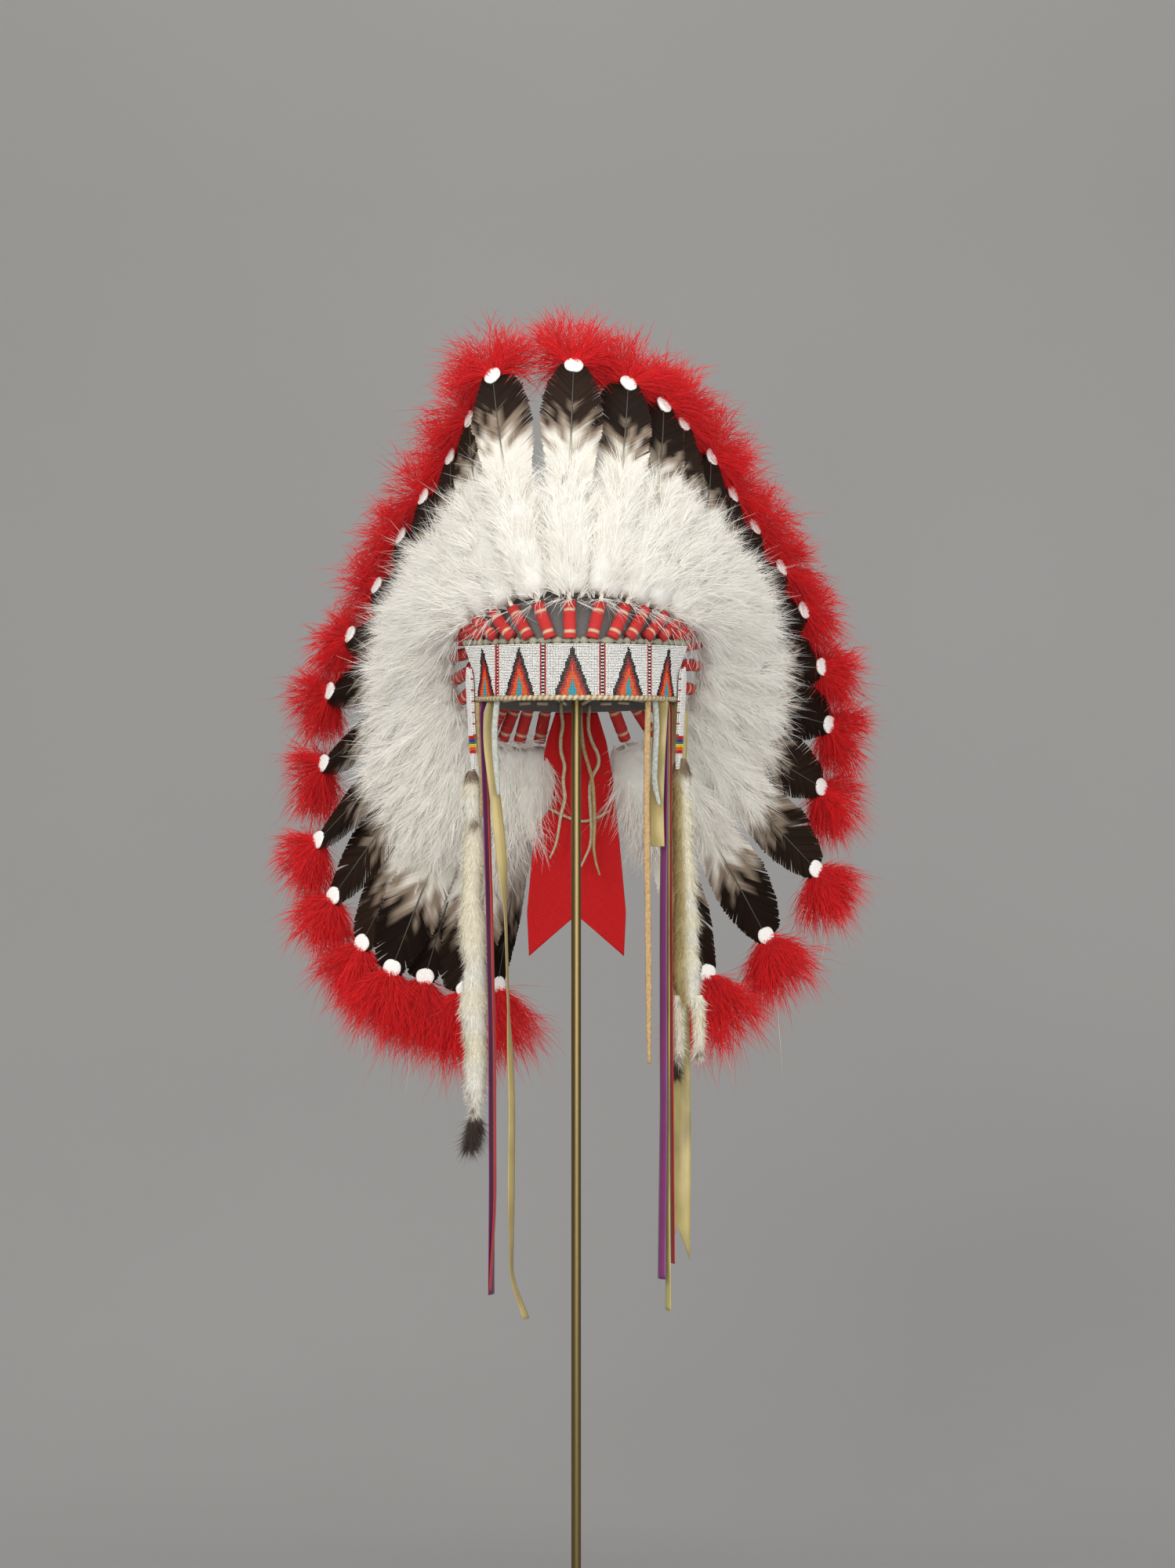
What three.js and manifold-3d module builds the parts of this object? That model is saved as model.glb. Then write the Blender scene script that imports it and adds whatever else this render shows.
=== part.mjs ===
// A feathered headdress on a pole stand, in millimetres, +Z up, its face towards -Y.
// The origin is the middle of the stand base's underside.
import * as THREE from "three";
import { mergeVertices } from "three/addons/utils/BufferGeometryUtils.js";
import Module from "manifold-3d";

const wasm = await Module();
wasm.setup();

// Driving dimensions of the stand and of the cap's place on it.
const BAND_HEIGHT_ABOVE_TABLE = 800; // the brow band's lower edge
const BASE_RADIUS = 150;
const BASE_THICKNESS = 12;
const BASE_CHAMFER = 2;
const POLE_DIAMETER = 8;
const PAD_THICKNESS = 9;
const SEAT_GAP = 0.3; // left between pieces that rest on each other

// Driving dimensions of the felt cap and its brow band.
const CAP_WIDTH = 169;
const CAP_LENGTH = 206;
const FELT = 3;
const CAP_WALL_HEIGHT = 46; // upright wall above the band's lower edge
const CROWN_HEIGHT = 60; // dome above that wall
const REAR_RIM_DROP = 10; // how much lower the rim hangs behind
const BAND_HEIGHT = 41;
const BAND_THICKNESS = 3;
const BAND_GAP = 0.4;
const BAND_HALF_ARC_DEG = 71;
const BAND_FLARE = 8; // how far the band's ends lean out at the top
const FLARE_START_DEG = 46;
const TOP_BINDING = 4.2;
const BOTTOM_BINDING = 3.6;

// Driving dimensions of one feather, from its seat on the felt to the tip of its plume.
const FEATHER_LENGTH = 262; // seat to the white disc at the tip
const FEATHER_WIDTH = 48;
const VANE_THICKNESS = 2;
const VANE_TWIST_DEG = 24; // each vane lies over its neighbour like a shingle
const WRAP_LENGTH = 32;
const WRAP_DIAMETER = 10.5;
const QUILL_DIAMETER = 4.6;
const FLUFF_START = 42;
const FLUFF_LENGTH = 128;
const FLUFF_WIDTH = 52;
const FLUFF_FRONT = 30;
const FLUFF_BACK = 13;
const DISC_DIAMETER = 13;
const DISC_THICKNESS = 3;
const PLUME_LENGTH = 72;
const PLUME_WIDTH = 64;
const PLUME_DEPTH = 40;
const PLUME_DROOP = 0.32; // share of downward pull in a plume's direction
const NEIGHBOUR_GAP = 0.8;
const WRAP_SEAT_GAP = 0.55; // between a wrapped quill and the felt it is laced to
const SEAT_HEIGHT = 50; // wraps in front start just above the band
const REAR_SEAT_HEIGHT = -2;
const FRONT_BOW = 0.45; // how much the front feathers start upright before they sweep back
const SIDE_BOW = 0.1;

// Driving dimensions of what hangs from the cap.
const DROP_LENGTH = 84;
const DROP_WIDTH = 20;
const DROP_THICKNESS = 3;
const DROP_TOP = 24; // above the band's lower edge
const DROP_SEAT_DEG = 72;
const ERMINE_WIDTH = 23;
const ERMINE_DEPTH = 11;
const ERMINE_LENGTH_LEFT = 282;
const ERMINE_TAIL_LENGTH = 34;
const ERMINE_LENGTH_RIGHT = 190;
const ERMINE_LEG_LENGTH = 48;
const ERMINE_SIDESTEP = 4; // how far the ermines hang outside the beaded drops
const TRAILER_LENGTH = 207;
const TRAILER_WIDTH = 84;
const TRAILER_NOTCH = 35;
const TRAILER_FOLD = 4;
const CLOTH = 1.6;
const RIBBON = 1.2;
const RIBBON_LENGTH = 501;
const RIBBON_WIDTH = 10;
const RIBBON_SWAY = 20;
const RIBBON_GATHER = 3; // where a ribbon is sewn to the rim
const STRAP_WIDTH = 5;
const STRAP_THICKNESS = 2;
const THONG_DIAMETER = 3;
const LACING_DIAMETER = 2.4;

const materials = {
  brass: material("#9c8c5e", 0.28, 0.95),
  steel: material("#2f3032", 0.6, 0.3),
  felt: material("#4a4745", 0.95, 0),
  beads: material("#ece9e4", 0.4, 0),
  leather: material("#b79a62", 0.75, 0),
  feather: material("#4a382b", 0.6, 0),
  ermine: material("#efe6d2", 0.9, 0),
  redCloth: material("#c8141b", 0.9, 0),
  gold: material("#b79b3f", 0.5, 0),
  purple: material("#6d2a63", 0.5, 0),
  red: material("#b3202a", 0.5, 0),
};

function material(color, roughness, metalness) {
  return new THREE.MeshStandardMaterial({ color, roughness, metalness });
}

const headdress = new THREE.Group();
const bonnet = new THREE.Group();
bonnet.position.z = BAND_HEIGHT_ABOVE_TABLE;
headdress.add(bonnet);

function place(group, name, geometry, look) {
  const mesh = new THREE.Mesh(geometry, look);
  mesh.name = name;
  group.add(mesh);
}

const rad = THREE.MathUtils.degToRad;
const v3 = (x, y, z) => new THREE.Vector3(x, y, z);
const along = (point, direction, distance) => point.clone().addScaledVector(direction, distance);
const smooth = THREE.MathUtils.smoothstep;

// A closed solid through rings of points that all turn the same way, capped at both ends.
function loft(rings) {
  const sides = rings[0].length;
  const points = rings.flat();
  const faces = [];
  for (let r = 0; r + 1 < rings.length; r++)
    for (let k = 0; k < sides; k++) {
      const a = r * sides + k;
      const b = r * sides + ((k + 1) % sides);
      faces.push(a, b, b + sides, a, b + sides, a + sides);
    }
  const last = (rings.length - 1) * sides;
  // Each end is closed by strips between its first and last points, its second and last but one, and on.
  for (let [k, m] = [0, sides - 1]; m - k > 1; k++, m--) {
    faces.push(m, k + 1, k, last + k, last + k + 1, last + m);
    if (m - k > 2) faces.push(m, m - 1, k + 1, last + k + 1, last + m - 1, last + m);
  }
  return outward(new THREE.BufferGeometry().setFromPoints(points).setIndex(faces));
}

// Turns a closed geometry's faces outwards where its rings ran the other way.
function outward(geometry) {
  const p = geometry.attributes.position;
  const index = geometry.index.array;
  const [a, b, c] = [v3(), v3(), v3()];
  let volume = 0;
  for (let i = 0; i < index.length; i += 3) {
    a.fromBufferAttribute(p, index[i]);
    b.fromBufferAttribute(p, index[i + 1]);
    c.fromBufferAttribute(p, index[i + 2]);
    volume += a.dot(b.cross(c));
  }
  if (volume < 0)
    for (let i = 0; i < index.length; i += 3) [index[i + 1], index[i + 2]] = [index[i + 2], index[i + 1]];
  return geometry;
}

function solid(geometry) {
  const bare = geometry.clone();
  bare.deleteAttribute("normal");
  bare.deleteAttribute("uv");
  const merged = mergeVertices(bare, 1e-4);
  return new wasm.Manifold(
    new wasm.Mesh({
      numProp: 3,
      vertProperties: merged.attributes.position.array,
      triVerts: new Uint32Array(merged.index.array),
    }),
  );
}

function fused(geometries) {
  const mesh = geometries.map(solid).reduce((whole, piece) => whole.add(piece)).getMesh();
  return new THREE.BufferGeometry()
    .setAttribute("position", new THREE.BufferAttribute(mesh.vertProperties, 3))
    .setIndex(new THREE.BufferAttribute(mesh.triVerts, 1));
}

// Felt cap: an upright oval wall that closes in a dome.
const halfWidth = CAP_WIDTH / 2;
const halfLength = CAP_LENGTH / 2;
const crownTop = CAP_WALL_HEIGHT + CROWN_HEIGHT;
const rimHeight = (y) => -REAR_RIM_DROP * ((y + halfLength) / CAP_LENGTH);

// A point on an oval around the cap: 0 degrees is the middle of the brow, positive to the right.
function around(degrees, clearance) {
  const angle = rad(degrees);
  return v3((halfWidth + clearance) * Math.sin(angle), -(halfLength + clearance) * Math.cos(angle), 0);
}

const CAP_SIDES = 24;
const DOME_RINGS = 4;
const PAD_FIRST_RING = 2;
const domeTilts = Array.from({ length: DOME_RINGS }, (_, k) => (k / DOME_RINGS) * (Math.PI / 2));

function capRing(inset, tilt) {
  return Array.from({ length: CAP_SIDES }, (_, k) => {
    const p = around((360 * k) / CAP_SIDES, -inset).multiplyScalar(Math.cos(tilt));
    return p.setZ(CAP_WALL_HEIGHT + (CROWN_HEIGHT - inset) * Math.sin(tilt));
  });
}

function feltCap() {
  const rim = (inset) => capRing(inset, 0).map((p) => p.setZ(rimHeight(p.y)));
  const outer = [rim(0), ...domeTilts.map((tilt) => capRing(0, tilt))];
  const inner = [rim(FELT), ...domeTilts.map((tilt) => capRing(FELT, tilt))];
  const apex = (inset) => Array(CAP_SIDES).fill(v3(0, 0, crownTop - inset));
  return tidy(loft([apex(FELT), ...inner.reverse(), ...outer, apex(0)]));
}

// Drops the empty faces where a ring has closed to a point.
function tidy(geometry) {
  const merged = mergeVertices(geometry, 1e-4);
  const index = merged.index.array;
  const kept = [];
  for (let i = 0; i < index.length; i += 3) {
    const [a, b, c] = [index[i], index[i + 1], index[i + 2]];
    if (a !== b && b !== c && c !== a) kept.push(a, b, c);
  }
  return merged.setIndex(kept);
}

place(bonnet, "felt_cap", feltCap(), materials.felt);

// The stand: a plain weighted disc, a slim pole, and a pad under the crown.
const padRim = domeTilts[PAD_FIRST_RING];
const padUnderside =
  BAND_HEIGHT_ABOVE_TABLE + capRing(FELT + SEAT_GAP, padRim)[0].z - PAD_THICKNESS;

function standBase() {
  const profile = [
    [0, 0],
    [BASE_RADIUS, 0],
    [BASE_RADIUS, BASE_THICKNESS - BASE_CHAMFER],
    [BASE_RADIUS - BASE_CHAMFER, BASE_THICKNESS],
    [0, BASE_THICKNESS],
  ].map(([r, z]) => new THREE.Vector2(r, z));
  return new THREE.LatheGeometry(profile, 36).rotateX(Math.PI / 2);
}

function standPole() {
  const bottom = BASE_THICKNESS + SEAT_GAP;
  const length = padUnderside - SEAT_GAP - bottom;
  return new THREE.CylinderGeometry(POLE_DIAMETER / 2, POLE_DIAMETER / 2, length, 16)
    .rotateX(Math.PI / 2)
    .translate(0, 0, bottom + length / 2);
}

// The pad follows the inside of the crown from one of the dome's rings to its top.
function crownPad() {
  const inset = FELT + SEAT_GAP;
  const top = domeTilts.slice(PAD_FIRST_RING).map((tilt) => capRing(inset, tilt));
  const floor = top[0].map((p) => p.clone().setZ(p.z - PAD_THICKNESS));
  return tidy(loft([floor, ...top, Array(CAP_SIDES).fill(v3(0, 0, crownTop - inset))]));
}

place(headdress, "stand_base", standBase(), materials.steel);
place(headdress, "stand_pole", standPole(), materials.brass);
place(bonnet, "crown_pad", crownPad(), materials.felt);

// Brow band: a beaded strip round the front of the cap whose ends lean out above a crease.
const bandInside = BAND_GAP;
const bandOutside = BAND_GAP + BAND_THICKNESS;
const CREASE = 0.45;

function bandPoint(degrees, clearance, up) {
  const lean = smooth(Math.abs(degrees), FLARE_START_DEG, BAND_HALF_ARC_DEG);
  const flare = BAND_FLARE * lean * Math.max(0, (up - CREASE) / (1 - CREASE));
  return around(degrees, clearance + flare).setZ(BAND_HEIGHT * up);
}

function bandSweep(steps, section) {
  const at = (k) => BAND_HALF_ARC_DEG * ((2 * k) / steps - 1);
  return loft(Array.from({ length: steps + 1 }, (_, k) => section(at(k))));
}

const browBand = bandSweep(18, (degrees) => [
  bandPoint(degrees, bandInside, 0),
  bandPoint(degrees, bandOutside, 0),
  bandPoint(degrees, bandOutside, CREASE),
  bandPoint(degrees, bandOutside, 1),
  bandPoint(degrees, bandInside, 1),
  bandPoint(degrees, bandInside, CREASE),
]);
place(bonnet, "brow_band", browBand, materials.beads);

function binding(up, size, lift) {
  const sides = 5;
  const middle = bandInside + Math.max(BAND_THICKNESS, size) / 2;
  return bandSweep(16, (degrees) =>
    Array.from({ length: sides }, (_, k) => {
      const turn = (2 * Math.PI * k) / sides;
      const p = bandPoint(degrees, middle + (size / 2) * Math.cos(turn), up);
      p.z += lift + (size / 2) * Math.sin(turn);
      return p;
    }),
  );
}

const bindingRise = (size) => SEAT_GAP + size / 2;
place(bonnet, "band_top_binding", binding(1, TOP_BINDING, bindingRise(TOP_BINDING)), materials.leather);
place(bonnet, "band_bottom_binding", binding(0, BOTTOM_BINDING, -bindingRise(BOTTOM_BINDING)), materials.leather);

// Where each feather sits and points: its seat in degrees round the cap from the brow, positive to the
// right, and its tip's way out and up from the seat as shares of the feather's length. What is left of
// the length is its sweep back.
const FEATHERS = [
  { seat: -164, out: -0.17, up: -0.93 },
  { seat: -154, out: -0.22, up: -0.94 },
  { seat: -146, out: -0.31, up: -0.9 },
  { seat: -138, out: -0.38, up: -0.87 },
  { seat: -130, out: -0.45, up: -0.79 },
  { seat: -121, out: -0.52, up: -0.65 },
  { seat: -112, out: -0.55, up: -0.5 },
  { seat: -103, out: -0.52, up: -0.29 },
  { seat: -93, out: -0.49, up: -0.1 },
  { seat: -83, out: -0.42, up: 0.05 },
  { seat: -72, out: -0.34, up: 0.2 },
  { seat: -61, out: -0.28, up: 0.36 },
  { seat: -49, out: -0.24, up: 0.48 },
  { seat: -37, out: -0.2, up: 0.6 },
  { seat: -26, out: -0.19, up: 0.71 },
  { seat: -14, out: -0.18, up: 0.83 },
  { seat: -3, out: 0.01, up: 0.86 },
  { seat: 9, out: 0.11, up: 0.81 },
  { seat: 20, out: 0.16, up: 0.75 },
  { seat: 30, out: 0.17, up: 0.7 },
  { seat: 41, out: 0.21, up: 0.6 },
  { seat: 52, out: 0.24, up: 0.49 },
  { seat: 64, out: 0.28, up: 0.39 },
  { seat: 76, out: 0.35, up: 0.26 },
  { seat: 88, out: 0.42, up: 0.15 },
  { seat: 100, out: 0.49, up: 0.02 },
  { seat: 112, out: 0.54, up: -0.11 },
  { seat: 124, out: 0.55, up: -0.28 },
  { seat: 136, out: 0.57, up: -0.55 },
  { seat: 148, out: 0.45, up: -0.77 },
  { seat: 161, out: 0.32, up: -0.89 },
];

const SEAT_FALL_START_DEG = 75;
const SEAT_FALL_END_DEG = 130;
const wrapRadius = WRAP_DIAMETER / 2;
const HALF_HEIGHT = Math.sin(rad(60)); // of a six-sided section, as a share of its half width

// A point on the felt's flat-sided wall, and the wall's outward normal there.
function feltSeat(degrees) {
  const step = 360 / CAP_SIDES;
  const first = Math.floor(degrees / step);
  const [a, b] = [around(first * step, 0), around((first + 1) * step, 0)];
  return { point: a.clone().lerp(b, degrees / step - first), normal: b.sub(a).cross(v3(0, 0, 1)).normalize() };
}

const lines = FEATHERS.map(({ seat, out, up }) => {
  const chord = v3(out, Math.sqrt(1 - out * out - up * up), up);
  const bow = SIDE_BOW + (FRONT_BOW - SIDE_BOW) * Math.max(0, Math.cos(rad(seat)));
  const { point, normal } = feltSeat(seat);
  const first = along(chord, normal, bow).normalize();
  const reach = wrapRadius * HALF_HEIGHT * Math.sqrt(1 - first.dot(normal) ** 2);
  const start = along(point, normal, reach + WRAP_SEAT_GAP);
  const fall = smooth(Math.abs(seat), SEAT_FALL_START_DEG, SEAT_FALL_END_DEG);
  start.z = THREE.MathUtils.lerp(SEAT_HEIGHT, REAR_SEAT_HEIGHT, fall);
  const tip = along(start, chord, FEATHER_LENGTH);
  const curve = new THREE.QuadraticBezierCurve3(start, along(start, first, FEATHER_LENGTH * 0.38), tip);
  const hang = curve.getTangent(1).add(v3(0, 0, -PLUME_DROOP)).normalize();
  return { curve, tip, hang };
});

// The middle line of a feather and its plume, at a distance from the seat.
function linePoint({ curve, tip, hang }, distance) {
  if (distance <= FEATHER_LENGTH) return curve.getPoint(Math.max(0, distance / FEATHER_LENGTH));
  return along(tip, hang, distance - FEATHER_LENGTH);
}

function lineTangent(line, distance) {
  const step = FEATHER_LENGTH / 100;
  return linePoint(line, distance + step).sub(linePoint(line, Math.max(0, distance - step))).normalize();
}

// A feather's own directions at a distance: its way to both neighbours, and out to its front.
function feathersFrame(i, distance) {
  const here = linePoint(lines[i], distance);
  const before = lines[i - 1] && linePoint(lines[i - 1], distance).sub(here);
  const after = lines[i + 1] && linePoint(lines[i + 1], distance).sub(here);
  const tangent = lineTangent(lines[i], distance);
  const across = v3();
  if (after) across.add(after);
  if (before) across.sub(before);
  across.addScaledVector(tangent, -across.dot(tangent)).normalize();
  const front = across.clone().cross(tangent);
  const room = (way) => (way ? way.length() / 2 - NEIGHBOUR_GAP / 2 : Infinity);
  return {
    here,
    front,
    across,
    left: before ? before.clone().normalize() : across.clone().negate(),
    right: after ? after.clone().normalize() : across,
    leftRoom: room(before),
    rightRoom: room(after),
  };
}

// Six points round the middle line: full widths at the sides, and two points each to the front and back.
function tuftRing(i, distance, half, front, back) {
  const f = feathersFrame(i, distance);
  const left = f.left.multiplyScalar(Math.min(half, f.leftRoom));
  const right = f.right.clone().multiplyScalar(Math.min(half, f.rightRoom));
  const point = (side, share, depth) => f.here.clone().addScaledVector(side, share).addScaledVector(f.front, depth);
  return [
    point(right, 1, 0),
    point(right, 0.5, front * HALF_HEIGHT),
    point(left, 0.5, front * HALF_HEIGHT),
    point(left, 1, 0),
    point(left, 0.5, -back * HALF_HEIGHT),
    point(right, 0.5, -back * HALF_HEIGHT),
  ];
}

// Middle of the fan: the feather whose vane lies over both its neighbours.
const TOP_FEATHER = FEATHERS.reduce((best, row, i) => (row.up > FEATHERS[best].up ? i : best), 0);

function vaneRing(i, distance, half) {
  const f = feathersFrame(i, distance);
  const twist = rad(VANE_TWIST_DEG) * Math.sign(i - TOP_FEATHER);
  const across = f.across.clone().multiplyScalar(Math.cos(twist)).addScaledVector(f.front, Math.sin(twist));
  const front = f.front.clone().multiplyScalar(Math.cos(twist)).addScaledVector(f.across, -Math.sin(twist));
  const point = (side, depth) => along(along(f.here, across, side), front, depth);
  const thick = VANE_THICKNESS / 2;
  return [
    point(half, 0),
    point(half / 2, thick),
    point(-half / 2, thick),
    point(-half, 0),
    point(-half / 2, -thick),
    point(half / 2, -thick),
  ];
}

// Sections of the white fluff, of the vane and of the tip plume. "at" is the share of the part's own
// length, and the rest are shares of its half width and depth.
const FLUFF_SECTIONS = [
  { at: 0, wide: 0.16, deep: 0.3 },
  { at: 0.24, wide: 0.75, deep: 0.85 },
  { at: 0.66, wide: 1, deep: 1 },
  { at: 1, wide: 0.45, deep: 0.16 },
];
const VANE_SECTIONS = [
  { at: 0.08, wide: 0.7 },
  { at: 0.4, wide: 1 },
  { at: 0.84, wide: 0.86 },
  { at: 1, wide: 0.34 },
];
const PLUME_SECTIONS = [
  { at: 0.08, wide: 0.3, deep: 0.3 },
  { at: 0.4, wide: 0.9, deep: 0.9 },
  { at: 0.75, wide: 1, deep: 1 },
  { at: 1, wide: 0.4, deep: 0.3 },
];

function tipDisc(i) {
  const f = feathersFrame(i, FEATHER_LENGTH);
  const turn = new THREE.Quaternion().setFromUnitVectors(v3(0, 1, 0), f.front);
  return new THREE.CylinderGeometry(DISC_DIAMETER / 2, DISC_DIAMETER / 2, DISC_THICKNESS, 7)
    .applyQuaternion(turn)
    .translate(f.here.x, f.here.y, f.here.z);
}

function feather(i) {
  const round = (distance, radius) => tuftRing(i, distance, radius, radius, radius);
  const vaneStart = FLUFF_START + FLUFF_LENGTH;
  const vaneLength = FEATHER_LENGTH - vaneStart;
  const rings = [
    round(0, wrapRadius),
    round(WRAP_LENGTH, wrapRadius),
    round(WRAP_LENGTH + 1, QUILL_DIAMETER / 2),
    ...FLUFF_SECTIONS.map(({ at, wide, deep }) =>
      tuftRing(i, FLUFF_START + at * FLUFF_LENGTH, (wide * FLUFF_WIDTH) / 2, deep * FLUFF_FRONT, deep * FLUFF_BACK),
    ),
    ...VANE_SECTIONS.map(({ at, wide }) => vaneRing(i, vaneStart + at * vaneLength, (wide * FEATHER_WIDTH) / 2)),
    ...PLUME_SECTIONS.map(({ at, wide, deep }) => {
      const depth = (deep * PLUME_DEPTH) / 2;
      return tuftRing(i, FEATHER_LENGTH + at * PLUME_LENGTH, (wide * PLUME_WIDTH) / 2, depth, depth);
    }),
  ];
  return fused([loft(rings), tipDisc(i)]);
}

FEATHERS.forEach((_, i) => {
  place(bonnet, "feather_" + String(i + 1).padStart(2, "0"), feather(i), materials.feather);
});

// A flat strip that hangs from the felt's rim: "seat" is its place round the rim in degrees, "turn" how
// far it is turned from facing forwards. "wide" and "long" are shares of the ribbons' width and length.
// Each row of a route is a share of its length down and a sideways share of the sway.
const RIBBONS = [
  {
    name: "gold_ribbon_left", look: "gold", seat: -55.5, wide: 1, long: 1, turn: 50,
    route: [[0, 0], [0.05, -0.15], [0.22, 0.42], [0.34, 0.67], [0.5, 0.78], [0.65, 0.9], [0.8, 0.84], [0.95, 0.87], [1, 1.6]],
  },
  {
    name: "red_ribbon_left", look: "red", seat: -59.8, wide: 0.8, long: 0.954, turn: 50,
    route: [[0, 0], [0.1, 0.05], [0.35, 0.12], [0.6, 0.05], [0.85, -0.02], [1, -0.05]],
  },
  {
    name: "purple_ribbon_left", look: "purple", seat: -64.3, wide: 1, long: 0.962, turn: 50,
    route: [[0, 0], [0.1, 0.08], [0.3, 0.14], [0.55, 0.18], [0.8, 0.2], [1, 0.2]],
  },
  {
    name: "gold_ribbon_right", look: "gold", seat: 55.5, wide: 1.3, long: 0.2375, turn: -28,
    route: [[0, 0], [0.35, -0.12], [0.7, -0.2], [1, -0.16]],
  },
  {
    name: "purple_ribbon_right", look: "purple", seat: 59.8, wide: 1, long: 0.936, turn: -50,
    route: [[0, 0], [0.12, -0.06], [0.4, -0.12], [0.7, -0.1], [1, -0.18]],
  },
  {
    name: "yellow_ribbon_right", look: "gold", seat: 63.4, wide: 0.8, long: 0.988, turn: -50,
    route: [[0, 0], [0.15, -0.04], [0.5, 0.02], [0.8, 0], [1, 0.04]],
  },
  {
    name: "red_ribbon_right", look: "red", seat: 67.4, wide: 0.8, long: 0.912, turn: -50,
    route: [[0, 0], [0.2, -0.06], [0.6, -0.12], [1, -0.1]],
  },
  {
    name: "olive_ribbon_right", look: "gold", seat: 82, wide: 2, long: 0.912, turn: -14,
    route: [[0, 0], [0.15, -0.1], [0.45, 0], [0.75, 0.1], [1, 0.06]],
  },
];

function rimPoint(degrees) {
  const p = around(degrees, -FELT / 2);
  return p.setZ(rimHeight(p.y) - SEAT_GAP);
}

function hangingStrip({ seat, wide, long, turn, route }) {
  const width = wide * RIBBON_WIDTH;
  const length = long * RIBBON_LENGTH;
  const top = rimPoint(seat);
  const face = v3(Math.cos(rad(turn)), Math.sin(rad(turn)), 0);
  const through = v3(-face.y, face.x, 0);
  const half = width / 2;
  const thick = RIBBON / 2;
  return loft(
    route.map(([down, right], row) => {
      const middle = top.clone().add(v3(right * RIBBON_SWAY, 0, -down * length));
      const gather = row === 0 ? RIBBON_GATHER / width : 1;
      const corner = (side, depth) => along(along(middle, face, side * half * gather), through, depth * thick);
      return [corner(-1, -1), corner(1, -1), corner(1, 1), corner(-1, 1)];
    }),
  );
}

RIBBONS.forEach((ribbon) => place(bonnet, ribbon.name, hangingStrip(ribbon), materials[ribbon.look]));

// Beaded drops: narrow beaded strips that hang edge-on from both ends of the brow band.
function dropFrame(side) {
  const top = bandPoint(side * DROP_SEAT_DEG, bandOutside + SEAT_GAP + DROP_THICKNESS / 2, DROP_TOP / BAND_HEIGHT);
  const next = around(side * (DROP_SEAT_DEG + 1), bandOutside).sub(around(side * DROP_SEAT_DEG, bandOutside));
  const wide = next.normalize();
  return { top, wide, out: v3(wide.y, -wide.x, 0).multiplyScalar(side) };
}

const DROP_SECTIONS = [
  { down: 0, wide: 0.5 },
  { down: 0.12, wide: 1 },
  { down: 0.8, wide: 0.9 },
  { down: 1, wide: 0.4 },
];

function beadedDrop(side) {
  const { top, wide, out } = dropFrame(side);
  return loft(
    DROP_SECTIONS.map(({ down, wide: share }) => {
      const middle = top.clone().setZ(top.z - down * DROP_LENGTH);
      const corner = (a, b) =>
        along(along(middle, wide, (a * share * DROP_WIDTH) / 2), out, (b * DROP_THICKNESS) / 2);
      return [corner(-1, -1), corner(1, -1), corner(1, 1), corner(-1, 1)];
    }),
  );
}

place(bonnet, "beaded_drop_left", beadedDrop(-1), materials.beads);
place(bonnet, "beaded_drop_right", beadedDrop(1), materials.beads);

// Ermine drops: rolled white skins under the beaded drops. The left ends in a dark tail, the right in
// two hind legs. "right" is a sideways share of the skin's width.
const ERMINE_LEFT = [
  { down: 0, wide: 0.3, deep: 0.5, right: 0 },
  { down: 0.04, wide: 0.9, deep: 0.9, right: 0 },
  { down: 0.2, wide: 0.85, deep: 1, right: 0.06 },
  { down: 0.45, wide: 1, deep: 1, right: -0.06 },
  { down: 0.7, wide: 0.9, deep: 1, right: 0.04 },
  { down: 0.9, wide: 0.85, deep: 0.9, right: 0.08 },
  { down: 1, wide: 0.45, deep: 0.6, right: 0.02 },
];
const ERMINE_RIGHT = [
  { down: 0, wide: 0.3, deep: 0.5, right: -0.1 },
  { down: 0.05, wide: 0.7, deep: 0.9, right: -0.1 },
  { down: 0.3, wide: 0.75, deep: 1, right: -0.05 },
  { down: 0.6, wide: 0.85, deep: 1, right: 0.05 },
  { down: 0.85, wide: 1.2, deep: 1, right: 0 },
  { down: 1, wide: 1, deep: 0.8, right: 0.1 },
];
const ERMINE_LEG = [
  { down: 0, wide: 0.36, deep: 0.7 },
  { down: 0.7, wide: 0.3, deep: 0.5 },
  { down: 1, wide: 0.2, deep: 0.3 },
];

function furLoft(top, length, rows) {
  return loft(
    rows.map(({ down, wide, deep, right = 0 }) =>
      Array.from({ length: 6 }, (_, k) => {
        const turn = (Math.PI * k) / 3;
        const x = (right + (wide / 2) * Math.cos(turn)) * ERMINE_WIDTH;
        const y = (deep / 2) * Math.sin(turn) * ERMINE_DEPTH;
        return top.clone().add(v3(x, y, -down * length));
      }),
    ),
  );
}

function ermineTop(side) {
  const { top } = dropFrame(side);
  return top.add(v3(side * ERMINE_SIDESTEP, 0, -DROP_LENGTH - SEAT_GAP));
}

const leftTop = ermineTop(-1);
const tail = furLoft(leftTop.clone().setZ(leftTop.z - ERMINE_LENGTH_LEFT + 1), ERMINE_TAIL_LENGTH, [
  { down: 0, wide: 0.3, deep: 0.4 },
  { down: 0.5, wide: 0.36, deep: 0.5 },
  { down: 1, wide: 0.1, deep: 0.1, right: -0.1 },
]);
const rightTop = ermineTop(1);
const legTop = (share) =>
  rightTop.clone().add(v3(share * ERMINE_WIDTH, 0, -ERMINE_LENGTH_RIGHT + ERMINE_LEG_LENGTH * 0.15));
const legs = [-0.26, 0.46].map((share) => furLoft(legTop(share), ERMINE_LEG_LENGTH * 1.15, ERMINE_LEG));
place(bonnet, "ermine_left", fused([furLoft(leftTop, ERMINE_LENGTH_LEFT, ERMINE_LEFT), tail]), materials.ermine);
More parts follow.
